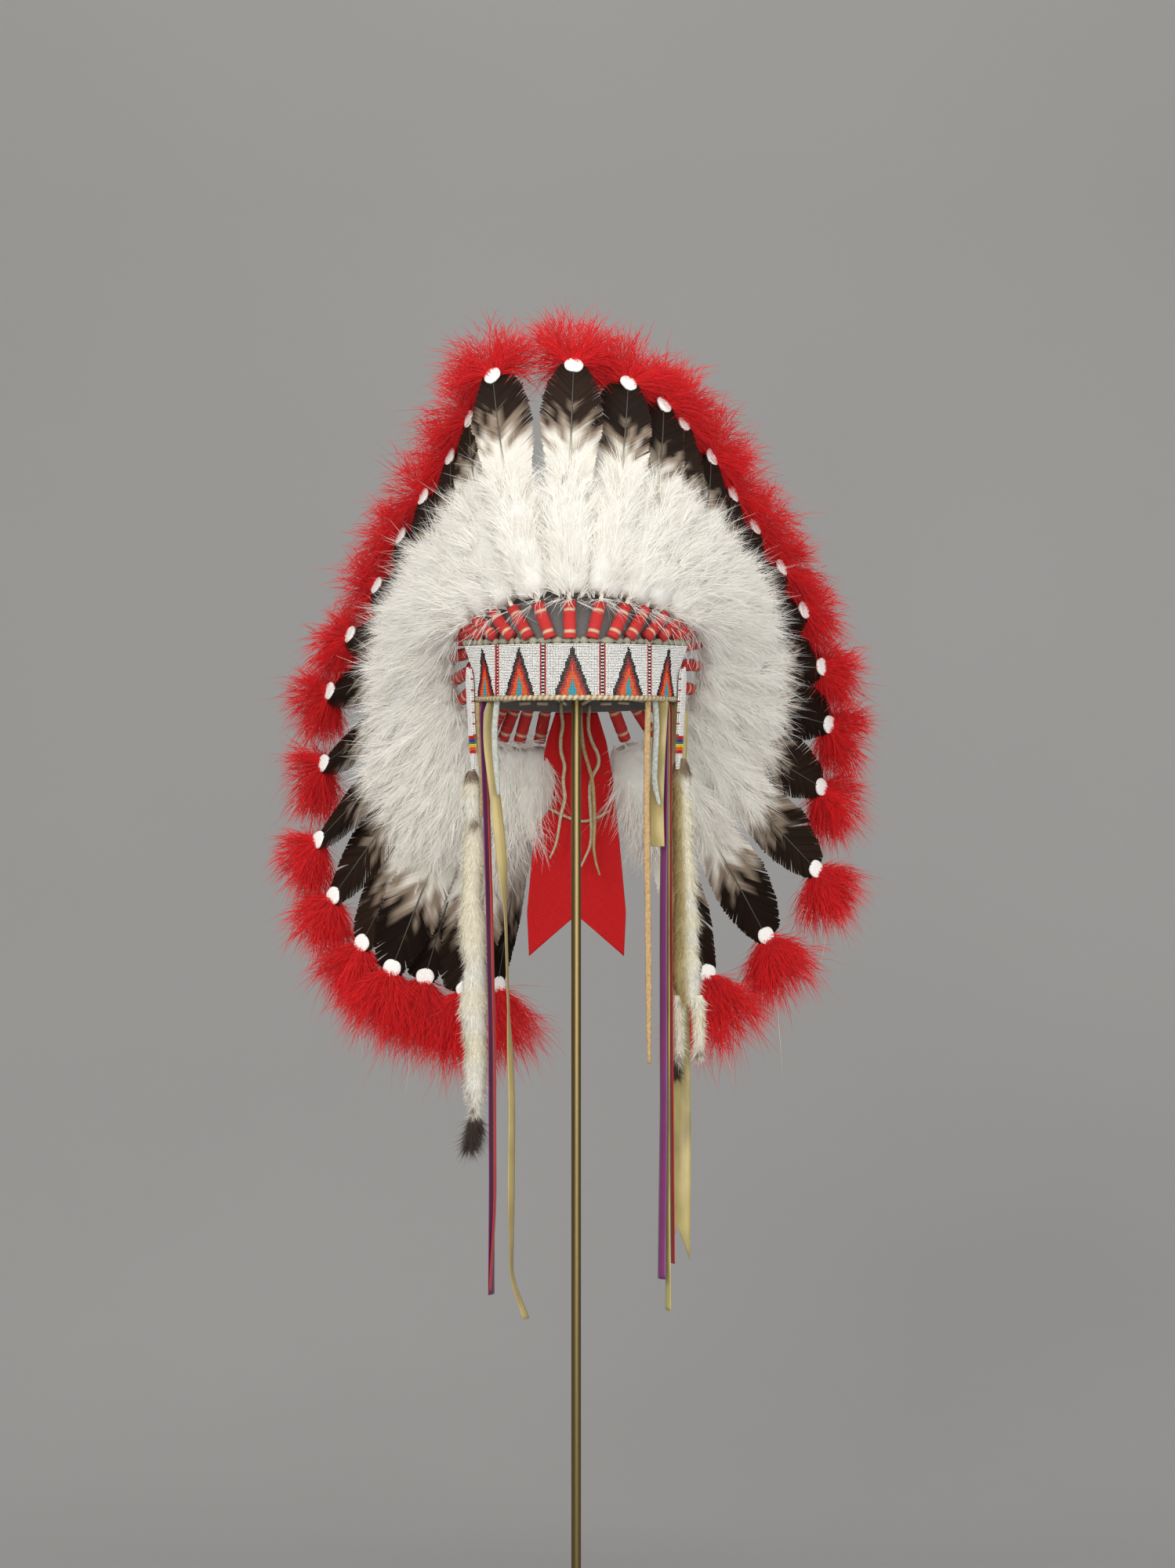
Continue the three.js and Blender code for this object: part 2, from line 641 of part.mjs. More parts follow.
place(bonnet, "ermine_right", fused([furLoft(rightTop, ERMINE_LENGTH_RIGHT, ERMINE_RIGHT), ...legs]), materials.ermine);

// Red wool trailer: a swallow-tailed cloth that hangs from the rear rim between the lowest feathers.
const TRAILER_SECTIONS = [
  { down: 0, wide: 0.42, fold: 0 },
  { down: 0.12, wide: 0.6, fold: 0.3 },
  { down: 0.3, wide: 0.76, fold: 0.8 },
  { down: 0.6, wide: 0.9, fold: 1 },
  { down: 0.82, wide: 1, fold: 0.8 },
  { down: 1, wide: 0.96, fold: 0.6 },
];
const TRAILER_FOLDS = [0.2, -0.8, 0.6, -0.6, 0.3]; // across the cloth, as shares of the fold's depth

function clothTrailer() {
  const columns = TRAILER_FOLDS.length - 1;
  const rim = rimPoint(180);
  return loft(
    TRAILER_SECTIONS.map(({ down, wide, fold }) => {
      const face = (depth) =>
        TRAILER_FOLDS.map((lift, k) => {
          const across = (2 * k) / columns - 1;
          const x = (across * wide * TRAILER_WIDTH) / 2;
          const rimCurve = halfLength * (1 - Math.sqrt(1 - (x / halfWidth) ** 2));
          const notch = down === 1 ? TRAILER_NOTCH * (1 - Math.abs(across)) : 0;
          const y = rim.y - rimCurve * (1 - Math.min(1, down / 0.3)) - (lift + 0.5) * fold * TRAILER_FOLD;
          return v3(x, y + (depth * CLOTH) / 2, rim.z - down * TRAILER_LENGTH + notch);
        });
      return [...face(-1), ...face(1).reverse()];
    }),
  );
}

place(bonnet, "cloth_trailer", clothTrailer(), materials.redCloth);

// Routes of the laces and straps, in the bonnet's millimetres from the band's lower edge.
const LACES = [
  {
    name: "thong_left", width: THONG_DIAMETER, thickness: THONG_DIAMETER,
    route: [
      [-13, 97.6, -2], [-13, 93.8, -2.6], [-12.9, 90.8, -5.2], [-12.8, 89.4, -9.5], [-12.2, 89, -15],
      [-11.6, 89, -22], [-13.2, 89, -32.5], [-12.9, 89, -44], [-10, 89, -56], [-11.2, 89, -68],
      [-9.8, 89, -83], [-13.2, 89, -98], [-16.9, 89, -120], [-22.5, 89, -134],
    ],
  },
  {
    name: "thong_right", width: THONG_DIAMETER, thickness: THONG_DIAMETER,
    route: [
      [11, 97.9, -5], [11, 94.1, -5.6], [10.9, 91.1, -8.2], [10.4, 89.7, -12.5], [10, 89, -18],
      [10.4, 89, -26], [13.4, 89, -36], [18, 89, -46], [18.4, 89, -55], [13.4, 89, -65],
      [11.2, 89, -77], [12.3, 89, -98], [12.8, 89, -113], [11.2, 89, -124], [7.4, 89, -133], [3.7, 89, -141],
    ],
  },
  {
    name: "thong_short", width: THONG_DIAMETER, thickness: THONG_DIAMETER,
    route: [
      [3.7, 99.1, -5], [3.7, 94.6, -5.6], [3.7, 89.6, -7.6], [3.7, 86, -11.5], [3.7, 84.3, -17],
      [4.4, 84, -27], [6.4, 84, -42], [10.6, 84, -57], [13.6, 84, -70], [14.8, 84, -86],
      [15.4, 84, -104], [14.6, 84, -122], [16, 84, -135], [19.6, 84, -148],
    ],
  },
  {
    name: "lacing_cord", width: LACING_DIAMETER, thickness: LACING_DIAMETER,
    route: [
      [-24, 95.6, -91], [-19, 95.6, -94], [-13.7, 95.6, -96.5], [-4.3, 95.6, -100.4], [4.3, 95.6, -102.6],
      [12, 95.6, -101.6], [17, 95.6, -99.7], [24, 95.6, -96], [29, 95.6, -93],
    ],
  },
  {
    name: "leather_strap_left", width: STRAP_WIDTH, thickness: STRAP_THICKNESS,
    route: [
      [-80, -40.3, -4.6], [-80, -40.3, -14], [-79.2, -40.4, -28], [-77.6, -40.4, -46], [-76, -40.4, -62],
      [-75.4, -40.4, -76], [-76.2, -40.4, -90], [-76.8, -40.4, -98],
    ],
  },
  {
    name: "chin_tie_left", width: STRAP_WIDTH, thickness: STRAP_THICKNESS,
    route: [
      [-63.6, -63.2, -2.4], [-64.4, -63.8, -12], [-65.6, -63.9, -26], [-65.4, -63.9, -42], [-64, -63.9, -60],
      [-62.6, -63.9, -80],
    ],
  },
  {
    name: "chin_tie_right", width: STRAP_WIDTH, thickness: STRAP_THICKNESS,
    route: [
      [63.6, -63.2, -2.4], [64.4, -63.8, -12], [65, -63.9, -26], [64.2, -63.9, -44], [63.2, -63.9, -64],
      [64.6, -63.9, -76], [67.4, -63.9, -88],
    ],
  },
  {
    name: "leather_strap_right", width: STRAP_WIDTH, thickness: STRAP_THICKNESS,
    route: [
      [58, -72.6, -2], [58, -72.6, -14], [57.4, -72.6, -40], [57, -72.6, -80], [57.2, -72.6, -120],
      [57.8, -72.6, -165], [58.4, -72.6, -215], [58.6, -72.6, -260], [59, -72.6, -296],
    ],
  },
];

const LACE_STEP = 3; // in widths
const MOST_LACE_STEPS = 18;

// An eight-sided cord or flat strap along a curve, its wide side turned to the front.
function lace({ width, thickness, route }) {
  const section = new THREE.Shape();
  for (let k = 0; k < 8; k++) {
    const turn = (Math.PI * (k + 0.5)) / 4;
    const [a, b] = [(thickness / 2) * Math.cos(turn), (width / 2) * Math.sin(turn)];
    if (k === 0) section.moveTo(a, b);
    else section.lineTo(a, b);
  }
  const path = new THREE.CatmullRomCurve3(route.map((p) => v3(...p)));
  const steps = Math.min(MOST_LACE_STEPS, Math.ceil(path.getLength() / (LACE_STEP * width)));
  return new THREE.ExtrudeGeometry(section, { steps, bevelEnabled: false, extrudePath: path });
}

LACES.forEach((piece) => place(bonnet, piece.name, lace(piece), materials.leather));

export default headdress;
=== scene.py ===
# A feathered headdress on a pole stand. The camera and the cords come first. Each section after them is one
# piece or one group of pieces, in the order in which they are put together.
import math

import bpy
import numpy as np
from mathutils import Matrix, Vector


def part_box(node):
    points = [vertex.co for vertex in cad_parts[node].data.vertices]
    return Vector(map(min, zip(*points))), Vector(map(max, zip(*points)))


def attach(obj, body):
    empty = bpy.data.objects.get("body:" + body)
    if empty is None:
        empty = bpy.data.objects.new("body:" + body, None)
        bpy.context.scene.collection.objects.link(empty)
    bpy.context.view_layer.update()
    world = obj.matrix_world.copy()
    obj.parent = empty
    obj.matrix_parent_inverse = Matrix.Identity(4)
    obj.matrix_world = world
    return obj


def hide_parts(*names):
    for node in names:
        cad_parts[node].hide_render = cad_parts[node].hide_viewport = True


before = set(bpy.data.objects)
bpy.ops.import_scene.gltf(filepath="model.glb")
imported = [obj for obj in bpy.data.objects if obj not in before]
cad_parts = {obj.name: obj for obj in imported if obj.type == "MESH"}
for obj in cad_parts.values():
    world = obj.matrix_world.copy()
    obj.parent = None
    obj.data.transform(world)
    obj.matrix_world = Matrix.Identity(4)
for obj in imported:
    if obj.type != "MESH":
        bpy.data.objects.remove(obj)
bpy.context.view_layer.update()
scene = bpy.context.scene

# The camera stands level, 3.2 m in front of the pole and a hand's width below the brow band.
camera_data = bpy.data.cameras.new("camera")
camera_data.sensor_fit = "VERTICAL"
camera_data.sensor_height = 36
camera_data.lens = 89.28
camera = bpy.data.objects.new("camera", camera_data)
camera.location = (0.00935, -3.2, 0.729)
camera.rotation_euler = (math.pi / 2, 0, 0)
scene.collection.objects.link(camera)
scene.camera = camera

# Leather thongs, straps and chin ties. Hand-cut hide strips, sewn to the cap's rim or knotted through
# holes in it. They hang free, apart from the cross lacing, whose ends are tied in the red cloth.
BAND_FOOT = 0.8


def unit(v):
    return v / np.maximum(np.linalg.norm(v, axis=-1, keepdims=True), 1e-12)


def node(tree, kind, inputs=None, **settings):
    made = tree.nodes.new("ShaderNode" + kind)
    for key, value in settings.items():
        setattr(made, key, value)
    for key, value in (inputs or {}).items():
        if isinstance(value, bpy.types.NodeSocket):
            tree.links.new(value, made.inputs[key])
        else:
            made.inputs[key].default_value = value
    return made


def look(name, grain, depth, stretch=(1, 1, 1), colour=None, vary=0.25, lets_through=0, **shader):
    """A material in one colour or the piece's own tint, mottled by a grain of so many per metre."""
    material = bpy.data.materials.new(name)
    material.use_nodes = True
    tree = material.node_tree
    shade = tree.nodes["Principled BSDF"]
    for key, value in shader.items():
        shade.inputs[key.replace("_", " ")].default_value = value
    place = node(tree, "TexCoord").outputs["Object"]
    stretched = node(tree, "Mapping", {"Vector": place, "Scale": stretch}).outputs[0]
    noise = node(tree, "TexNoise", {"Vector": stretched, "Scale": grain, "Detail": 4.0}).outputs[0]
    ramp = node(tree, "MapRange", {0: noise, 1: 0.3, 2: 0.7, 3: 1 - vary, 4: 1 + vary * 0.3}).outputs[0]
    if colour is None:
        base = node(tree, "Attribute", attribute_name="tint").outputs["Color"]
    else:
        base = node(tree, "RGB").outputs[0]
        base.default_value = (*colour, 1)
    shaded = node(tree, "VectorMath", {0: base, 1: ramp}, operation="MULTIPLY").outputs[0]
    tree.links.new(shaded, shade.inputs["Base Color"])
    bump = node(tree, "Bump", {"Height": noise, "Distance": depth, "Strength": 1.0})
    tree.links.new(bump.outputs[0], shade.inputs["Normal"])
    if lets_through:
        through = node(tree, "BsdfTranslucent", {"Color": shaded})
        mix = node(tree, "MixShader", {0: lets_through, 1: shade.outputs[0], 2: through.outputs[0]})
        tree.links.new(mix.outputs[0], tree.nodes["Material Output"].inputs["Surface"])
    return material


def settle(piece, material, nodes=()):
    piece.data.materials.clear()
    piece.data.materials.append(material)
    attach(piece, "root")
    if nodes:
        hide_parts(*nodes)
    return piece


def mesh_object(name, points, faces, smooth=True):
    mesh = bpy.data.meshes.new(name)
    mesh.from_pydata(points.tolist(), [], faces)
    mesh.polygons.foreach_set("use_smooth", np.full(len(mesh.polygons), smooth))
    mesh.update()
    piece = bpy.data.objects.new(name, mesh)
    scene.collection.objects.link(piece)
    return piece


def make(name, shapes, material, nodes=(), smooth=True):
    """One mesh of many shapes, each (points, faces, tint)."""
    points = np.concatenate([np.asarray(s[0]).reshape(-1, 3) for s in shapes])
    tints = np.ones((len(points), 4))
    faces = []
    first = 0
    for shape_points, shape_faces, tint in shapes:
        count = np.asarray(shape_points).reshape(-1, 3).shape[0]
        tints[first : first + count, :3] = tint
        if isinstance(shape_faces, (np.ndarray, tuple)):
            for same_size in shape_faces if isinstance(shape_faces, tuple) else (shape_faces,):
                faces += (same_size + first).tolist()
        else:
            faces += [[v + first for v in f] for f in shape_faces]
        first += count
    piece = mesh_object(name, points, faces, smooth)
    layer = piece.data.color_attributes.new("tint", "FLOAT_COLOR", "POINT")
    layer.data.foreach_set("color", tints.ravel())
    return settle(piece, material, nodes)


def swept(middle, across, front, wide, deep, sides):
    """A closed tube along a middle line, with half widths and half depths along it."""
    turn = np.arange(sides) * 2 * np.pi / sides
    count = len(middle)
    wide = np.broadcast_to(wide, count)[:, None] * np.cos(turn)
    deep = np.broadcast_to(deep, count)[:, None] * np.sin(turn)
    across = np.broadcast_to(across, middle.shape)
    front = np.broadcast_to(front, middle.shape)
    points = middle[:, None] + across[:, None] * wide[..., None] + front[:, None] * deep[..., None]
    row, side = np.meshgrid(np.arange(count - 1), np.arange(sides), indexing="ij")
    a = row * sides + side
    b = row * sides + (side + 1) % sides
    quads = np.stack([a, b, b + sides, a + sides], -1).reshape(-1, 4).tolist()
    last = (count - 1) * sides
    return points.reshape(-1, 3), quads + [list(range(sides))[::-1], list(range(last, last + sides))]


def smooth_line(points, steps):
    """A smooth line in metres through points in millimetres, with heights over the band's lower edge."""
    p = np.asarray(points, float) / 1000 + (0, 0, BAND_FOOT)
    p = np.vstack([2 * p[0] - p[1], p, 2 * p[-1] - p[-2]])
    line = []
    for k in range(1, len(p) - 2):
        for t in np.arange(steps) / steps:
            bend = (2 * p[k - 1] - 5 * p[k] + 4 * p[k + 1] - p[k + 2]) * t**2
            twist = (3 * p[k] - p[k - 1] - 3 * p[k + 1] + p[k + 2]) * t**3
            line.append(0.5 * (2 * p[k] + (p[k + 1] - p[k - 1]) * t + bend + twist))
    return np.array(line + [p[-2]])


def line_frame(line, across):
    """Ways across a line and to its front, both square to it."""
    tangent = unit(np.gradient(line, axis=0))
    across = np.broadcast_to(np.asarray(across, float), line.shape)
    across = unit(across - tangent * (across * tangent).sum(-1, keepdims=True))
    return across, np.cross(across, tangent)


hide = look("tan_hide", 420, 0.0004, vary=0.35, Roughness=0.8)
TAN = (0.42, 0.3, 0.14)
OLIVE_TAN = (0.52, 0.44, 0.28)
GREY_WHITE = (0.42, 0.43, 0.38)
ORANGE_TAN = (0.45, 0.29, 0.13)
THONG = 0.003
LACING = 0.0024
STRAP = 0.005
STRAP_THICK = 0.002


def lace(name, node_name, route, width, thickness, tint, across=(1, 0, 0)):
    """One strip of hide as a cord. Its edges waver a little and its lower end tapers."""
    line = smooth_line(route, 8)
    side, front = line_frame(line, across)
    edge = 1 + 0.03 * np.sin(np.arange(len(line)) * 0.9)
    edge *= np.interp(np.linspace(0, 1, len(line)), [0, 0.8, 1], [1, 1, 0.55])
    shape = swept(line, side, front, width / 2 * edge, thickness / 2, 10)
    piece = make(name, [(*shape, tint)], hide, [node_name])


lace(
    "left_thong", "thong_left",
    [[-13, 97.6, -2], [-13, 93.8, -2.6], [-12.9, 90.8, -5.2], [-12.8, 89.4, -9.5], [-12.2, 89, -15],
     [-11.6, 89, -22], [-13.2, 89, -32.5], [-12.9, 89, -44], [-10, 89, -56], [-11.2, 89, -68],
     [-9.8, 89, -83], [-13.2, 89, -98], [-16.9, 89, -120], [-22.5, 89, -134]],
    THONG, THONG, OLIVE_TAN,
)
lace(
    "right_thong", "thong_right",
    [[11, 97.9, -5], [11, 94.1, -5.6], [10.9, 91.1, -8.2], [10.4, 89.7, -12.5], [10, 89, -18],
     [10.4, 89, -26], [13.4, 89, -36], [18, 89, -46], [18.4, 89, -55], [13.4, 89, -65],
     [11.2, 89, -77], [12.3, 89, -98], [12.8, 89, -113], [11.2, 89, -124], [7.4, 89, -133], [3.7, 89, -141]],
    THONG, THONG, OLIVE_TAN,
)
lace(
    "short_thong", "thong_short",
    [[3.7, 99.1, -5], [3.7, 94.6, -5.6], [3.7, 89.6, -7.6], [3.7, 86, -11.5], [3.7, 84.3, -17],
     [4.4, 84, -27], [6.4, 84, -42], [10.6, 84, -57], [13.6, 84, -70], [14.8, 84, -86],
     [15.4, 84, -104], [14.6, 84, -122], [16, 84, -135], [19.6, 84, -148]],
    THONG, THONG, TAN,
)
lace(
    "cross_lacing", "lacing_cord",
    [[-24, 95.6, -91], [-19, 95.6, -94], [-13.7, 95.6, -96.5], [-4.3, 95.6, -100.4], [4.3, 95.6, -102.6],
     [12, 95.6, -101.6], [17, 95.6, -99.7], [24, 95.6, -96], [29, 95.6, -93]],
    LACING, LACING, OLIVE_TAN, across=(0, 0, 1),
)
lace(
    "left_tan_strap", "leather_strap_left",
    [[-80, -40.3, -4.6], [-80, -40.3, -14], [-79.2, -40.4, -28], [-77.6, -40.4, -46], [-76, -40.4, -62],
     [-75.4, -40.4, -76], [-76.2, -40.4, -90], [-76.8, -40.4, -98]],
    STRAP, STRAP_THICK, TAN,
)
lace(
    "left_chin_tie", "chin_tie_left",
    [[-63.6, -63.2, -2.4], [-64.4, -63.8, -12], [-65.6, -63.9, -26], [-65.4, -63.9, -42], [-64, -63.9, -60],
     [-62.6, -63.9, -80]],
    STRAP, STRAP_THICK, GREY_WHITE,
)
lace(
    "right_chin_tie", "chin_tie_right",
    [[63.6, -63.2, -2.4], [64.4, -63.8, -12], [65, -63.9, -26], [64.2, -63.9, -44], [63.2, -63.9, -64],
     [64.6, -63.9, -76], [67.4, -63.9, -88]],
    STRAP, STRAP_THICK, GREY_WHITE,
)
lace(
    "right_tan_strap", "leather_strap_right",
    [[58, -72.6, -2], [58, -72.6, -14], [57.4, -72.6, -40], [57, -72.6, -80], [57.2, -72.6, -120],
     [57.8, -72.6, -165], [58.4, -72.6, -215], [58.6, -72.6, -260], [59, -72.6, -296]],
    STRAP, STRAP_THICK, ORANGE_TAN,
)

# The stand. A plain weighted steel disc, a slim polished brass rod screwed into it, and a felt pad that
# fills the crown of the cap and rests on the rod's top.
def turned(name, low, high, sides):
    """A round disc or bar that fills the box between two corners."""
    middle = (0, 0, (low.z + high.z) / 2)
    bpy.ops.mesh.primitive_cylinder_add(vertices=sides, radius=high.x, depth=high.z - low.z, location=middle)
    made = bpy.context.object
    made.name = name
    bpy.ops.object.transform_apply(location=True)
    return made


base = turned("weighted_disc", *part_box("stand_base"), 128)
bevel = base.modifiers.new("bevel", "BEVEL")
bevel.width = 0.002
bevel.segments = 3
bpy.ops.object.modifier_apply(modifier="bevel")
bpy.ops.object.shade_smooth_by_angle(angle=0.6)
steel = look(
    "painted_steel", 900, 0.00005, colour=(0.03, 0.03, 0.033), vary=0.2, Roughness=0.65,
    Specular_IOR_Level=0.3,
)
settle(base, steel, ["stand_base"])

pole = turned("brass_rod", *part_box("stand_pole"), 48)
bpy.ops.object.shade_smooth_by_angle(angle=0.6)
brass = look(
    "polished_brass", 300, 0.0, stretch=(1, 1, 0.02), colour=(0.195, 0.145, 0.06), vary=0.1,
    Roughness=0.3, Metallic=0.95,
)
settle(pole, brass, ["stand_pole"])


SKIRT_STEPS = 6


def dome(name, lowest, skirt):
    """A dome of radius 1, kept from a share of its height up, with an upright skirt below its edge."""
    bpy.ops.mesh.primitive_uv_sphere_add(segments=96, ring_count=40, radius=1)
    made = bpy.context.object
    made.name = name
    bpy.ops.object.mode_set(mode="EDIT")
    bpy.ops.mesh.select_all(action="DESELECT")
    bpy.ops.object.mode_set(mode="OBJECT")
    for v in made.data.vertices:
        v.select = v.co.z < lowest - 0.01
    bpy.ops.object.mode_set(mode="EDIT")
    bpy.ops.mesh.delete(type="VERT")
    bpy.ops.mesh.select_all(action="SELECT")
    bpy.ops.mesh.region_to_loop()
    for _ in range(SKIRT_STEPS):
        bpy.ops.mesh.extrude_edges_move(TRANSFORM_OT_translate={"value": (0, 0, -skirt / SKIRT_STEPS)})
    bpy.ops.object.mode_set(mode="OBJECT")
    return made


felt = look(
    "grey_felt", 1500, 0.0005, colour=(0.15, 0.14, 0.134), vary=0.4, Roughness=1.0, Sheen_Weight=0.25,
)
CROWN_FOOT = 0.846
PAD_WIDE = 0.0812
PAD_DEEP = 0.0997
PAD_RISE = 0.0567
PAD_EDGE = 0.009
PAD_FROM = 0.7071
PAD_SKIRT = 0.2
pad = dome("crown_pad_felt", PAD_FROM, PAD_SKIRT)
for v in pad.data.vertices:
    below = min(0, v.co.z - 0.7) / PAD_SKIRT
    height = CROWN_FOOT + PAD_RISE * max(PAD_FROM, v.co.z) + PAD_EDGE * below
    v.co = (v.co.x * PAD_WIDE, v.co.y * PAD_DEEP, height)
bpy.ops.object.mode_set(mode="EDIT")
bpy.ops.mesh.select_all(action="SELECT")
bpy.ops.mesh.region_to_loop()
bpy.ops.mesh.edge_face_add()
bpy.ops.object.mode_set(mode="OBJECT")
bpy.ops.object.shade_smooth_by_angle(angle=0.8)
settle(pad, felt, ["crown_pad"])

# The cap. Dark grey hat felt, 3 mm thick, blocked to an oval with a low dome; its rim drops 10 mm to the
# back. Tan stitches that hold the trailer and the rear feathers show on its inside, just above the rim.
CAP_WIDE = 0.0845  # from the middle to the side
CAP_DEEP = 0.103  # from the middle to the brow
CAP_SIDE = 0.046
CROWN_RISE = 0.06
FELT_THICK = 0.003
REAR_DROP = 0.01


def rim_drop(y):
    """How far the rim has dropped at a place between the brow and the back."""
    return REAR_DROP * (y + CAP_DEEP) / (2 * CAP_DEEP)


def thicken(piece, thickness, offset):
    bpy.context.view_layer.objects.active = piece
    modifier = piece.modifiers.new("thickness", "SOLIDIFY")
    modifier.thickness = thickness
    modifier.offset = offset
    bpy.ops.object.modifier_apply(modifier="thickness")


cap = dome("felt_skull_cap", 0.0, 1.0)
for v in cap.data.vertices:
    x, y, z = v.co.x * CAP_WIDE, v.co.y * CAP_DEEP, v.co.z
    v.co = (x, y, CROWN_FOOT + (z * CROWN_RISE if z > 0 else z * (CAP_SIDE + rim_drop(y))))
thicken(cap, FELT_THICK, -1)
bpy.ops.object.shade_smooth_by_angle(angle=0.9)
settle(cap, felt, ["felt_cap"])

thread = look("tan_sinew", 1200, 0.0002, stretch=(1, 1, 0.3), vary=0.3, Roughness=0.8)
SINEW = (0.66, 0.55, 0.36)
INSIDE_WIDE = 0.0813
INSIDE_DEEP = 0.0998
STITCH_HALF = 4.6
STITCH_RISE = 4.0
stitches = []
# Each stitch's place across the cap, its height and its slope, in millimetres.
for x, z, slope in [(-57, 799.5, 0.2), (-43.5, 797, 0.1), (-29, 797, 0), (-13, 799, -0.7),
                    (9, 799, 0.7), (25, 797, 0), (40, 797.5, -0.1), (52, 799.5, -0.2)]:
    share = np.linspace(-1, 1, 7)
    sx = (x + share * STITCH_HALF) / 1000
    on_felt = INSIDE_DEEP * np.sqrt(1 - (sx / INSIDE_WIDE) ** 2)
    sy = on_felt - 0.0003 - 0.0007 * (1 - share**2)
    sz = (z + share * STITCH_RISE * slope) / 1000
    line = np.stack([sx, sy, sz], -1)
    side, front = line_frame(line, (0, 0, 1))
    stitches.append((*swept(line, side, front, 0.0014, 0.0008, 8), SINEW))
make("rim_stitches", stitches, thread)

# The brow band. A hide strip 41 mm high round the front of the cap, covered with glass seed beads strung
# in upright rows; its ends lean out above a crease.
rng = np.random.default_rng(7)
SEED = 0.0013
SEED_MM = 1.3
BAND_HIGH = 0.041
BAND_END = 71
LEAN_FROM = 46
LEAN_OUT = 0.008
CREASE = 0.45
BACKING = (0.0004, 0.0031)
STRING_OUT = 0.0034
BEAD_OUT = 0.0036


def around(degrees, clearance):
    """Places round the cap, in degrees from the middle of the brow, at a clearance from its felt."""
    angle = np.radians(np.asarray(degrees, float))
    wide = CAP_WIDE + clearance
    deep = CAP_DEEP + clearance
    return np.stack([wide * np.sin(angle), -deep * np.cos(angle), 0 * angle], -1)


def straight_out(degrees):
    """The way square out of the cap's side."""
    angle = np.radians(degrees)
    return unit(np.stack([np.sin(angle) / CAP_WIDE, -np.cos(angle) / CAP_DEEP, 0 * angle], -1))


def smoothstep(x, low, high):
    """A soft rise from 0 to 1 while the size of x grows from low to high."""
    t = np.clip((np.abs(x) - low) / (high - low), 0, 1)
    return t * t * (3 - 2 * t)


def band_point(degrees, clearance, up):
    """Places on the band, at a share of its height."""
    lean = LEAN_OUT * smoothstep(degrees, LEAN_FROM, BAND_END) * np.maximum(0, (up - CREASE) / (1 - CREASE))
    p = around(degrees, clearance + lean)
    p[..., 2] = BAND_FOOT + BAND_HIGH * up
    return p


def grid(points):
    """Faces for points laid out in rows and columns."""
    rows, columns = points.shape[:2]
    row, column = np.meshgrid(np.arange(rows - 1), np.arange(columns - 1), indexing="ij")
    a = (row * columns + column).ravel()
    return np.stack([a, a + 1, a + columns + 1, a + columns], -1)


def beads(centres, along, out, size, tints):
    """Seed beads: five-sided, round, each with its hole along its string."""
    across = np.cross(along, out)
    turn = np.arange(5) * 2 * np.pi / 5
    ring = out[:, None] * np.cos(turn)[:, None] + across[:, None] * np.sin(turn)[:, None]
    tall = along[:, None] * 0.26
    shape = np.concatenate(
        [ring * 0.47 - tall, ring * 0.47 + tall, -along[:, None] * 0.42, along[:, None] * 0.42], 1
    )
    points = centres[:, None] + shape * size
    faces = []
    for k in range(5):
        m = (k + 1) % 5
        faces += [[k, m, 5 + m], [k, 5 + m, 5 + k], [m, k, 10], [5 + k, 5 + m, 11]]
    faces = (np.arange(len(centres))[:, None, None] * 12 + np.array(faces)).reshape(-1, 3)
    return points.reshape(-1, 3), faces, np.repeat(tints, 12, axis=0)


WHITE_BEAD = (0.88, 0.87, 0.84)
BLACK_BEAD = (0.006, 0.006, 0.007)
DARK_RED_BEAD = (0.16, 0.008, 0.012)
RED_BEAD = (0.55, 0.01, 0.01)
ORANGE_BEAD = (0.9, 0.13, 0.01)
TURQUOISE_BEAD = (0.03, 0.42, 0.55)
# Places along the band from the middle of the brow, in millimetres. The triangles' size is in beads.
TRIANGLES = (-92, -48.5, -2.5, 44.5, 91)
STRIPES = (-73, -26.5, 21.8, 67)
TRIANGLE_HALF = 11.0
TRIANGLE_ROWS = 29


def bead_colour(place, row):
    """The band's pattern: stepped triangles between narrow stripes."""
    for middle in TRIANGLES:
        away = abs(place - middle) / SEED_MM
        reach = TRIANGLE_HALF * (1 - (row // 2 * 2) / TRIANGLE_ROWS)
        if row < TRIANGLE_ROWS and away <= reach:
            if away < np.interp(row, [0, 3, 4, 6, 7, 9, 10], [2.2, 2.2, 1.6, 1.6, 0.8, 0.8, 0]):
                return TURQUOISE_BEAD
            inside = reach - away
            if inside < 2.1:
                return BLACK_BEAD
            if inside < 3.0:
                return DARK_RED_BEAD
            return RED_BEAD if inside < 4.8 else ORANGE_BEAD
    for middle in STRIPES:
        away = abs(place - middle) / SEED_MM
        if away < 0.8:
            return BLACK_BEAD if row % 2 else WHITE_BEAD
        if away < 2.1:
            return RED_BEAD
    return WHITE_BEAD


# The length along the band at many close angles, from the middle of the brow.
fine = np.linspace(-BAND_END, BAND_END, 2000)
steps = np.linalg.norm(np.diff(around(fine, STRING_OUT), axis=0), axis=1)
run = np.concatenate([[0], np.cumsum(steps)])
run -= np.interp(0, fine, run)
columns = np.arange(math.ceil(run[0] / SEED) + 1, math.floor(run[-1] / SEED))
strings = np.interp(columns * SEED, run, fine)
ROWS = 31
degrees = np.repeat(strings, ROWS)
row = np.tile(np.arange(ROWS), len(strings))
up = (row + 0.5) / ROWS
centres = band_point(degrees, BEAD_OUT, up)
along = unit(band_point(degrees, BEAD_OUT, up + 0.01) - band_point(degrees, BEAD_OUT, up - 0.01))
out = straight_out(degrees)
out = unit(out - along * (out * along).sum(-1, keepdims=True))
tints = np.array([bead_colour(c * SEED_MM, r) for c in columns for r in range(ROWS)])
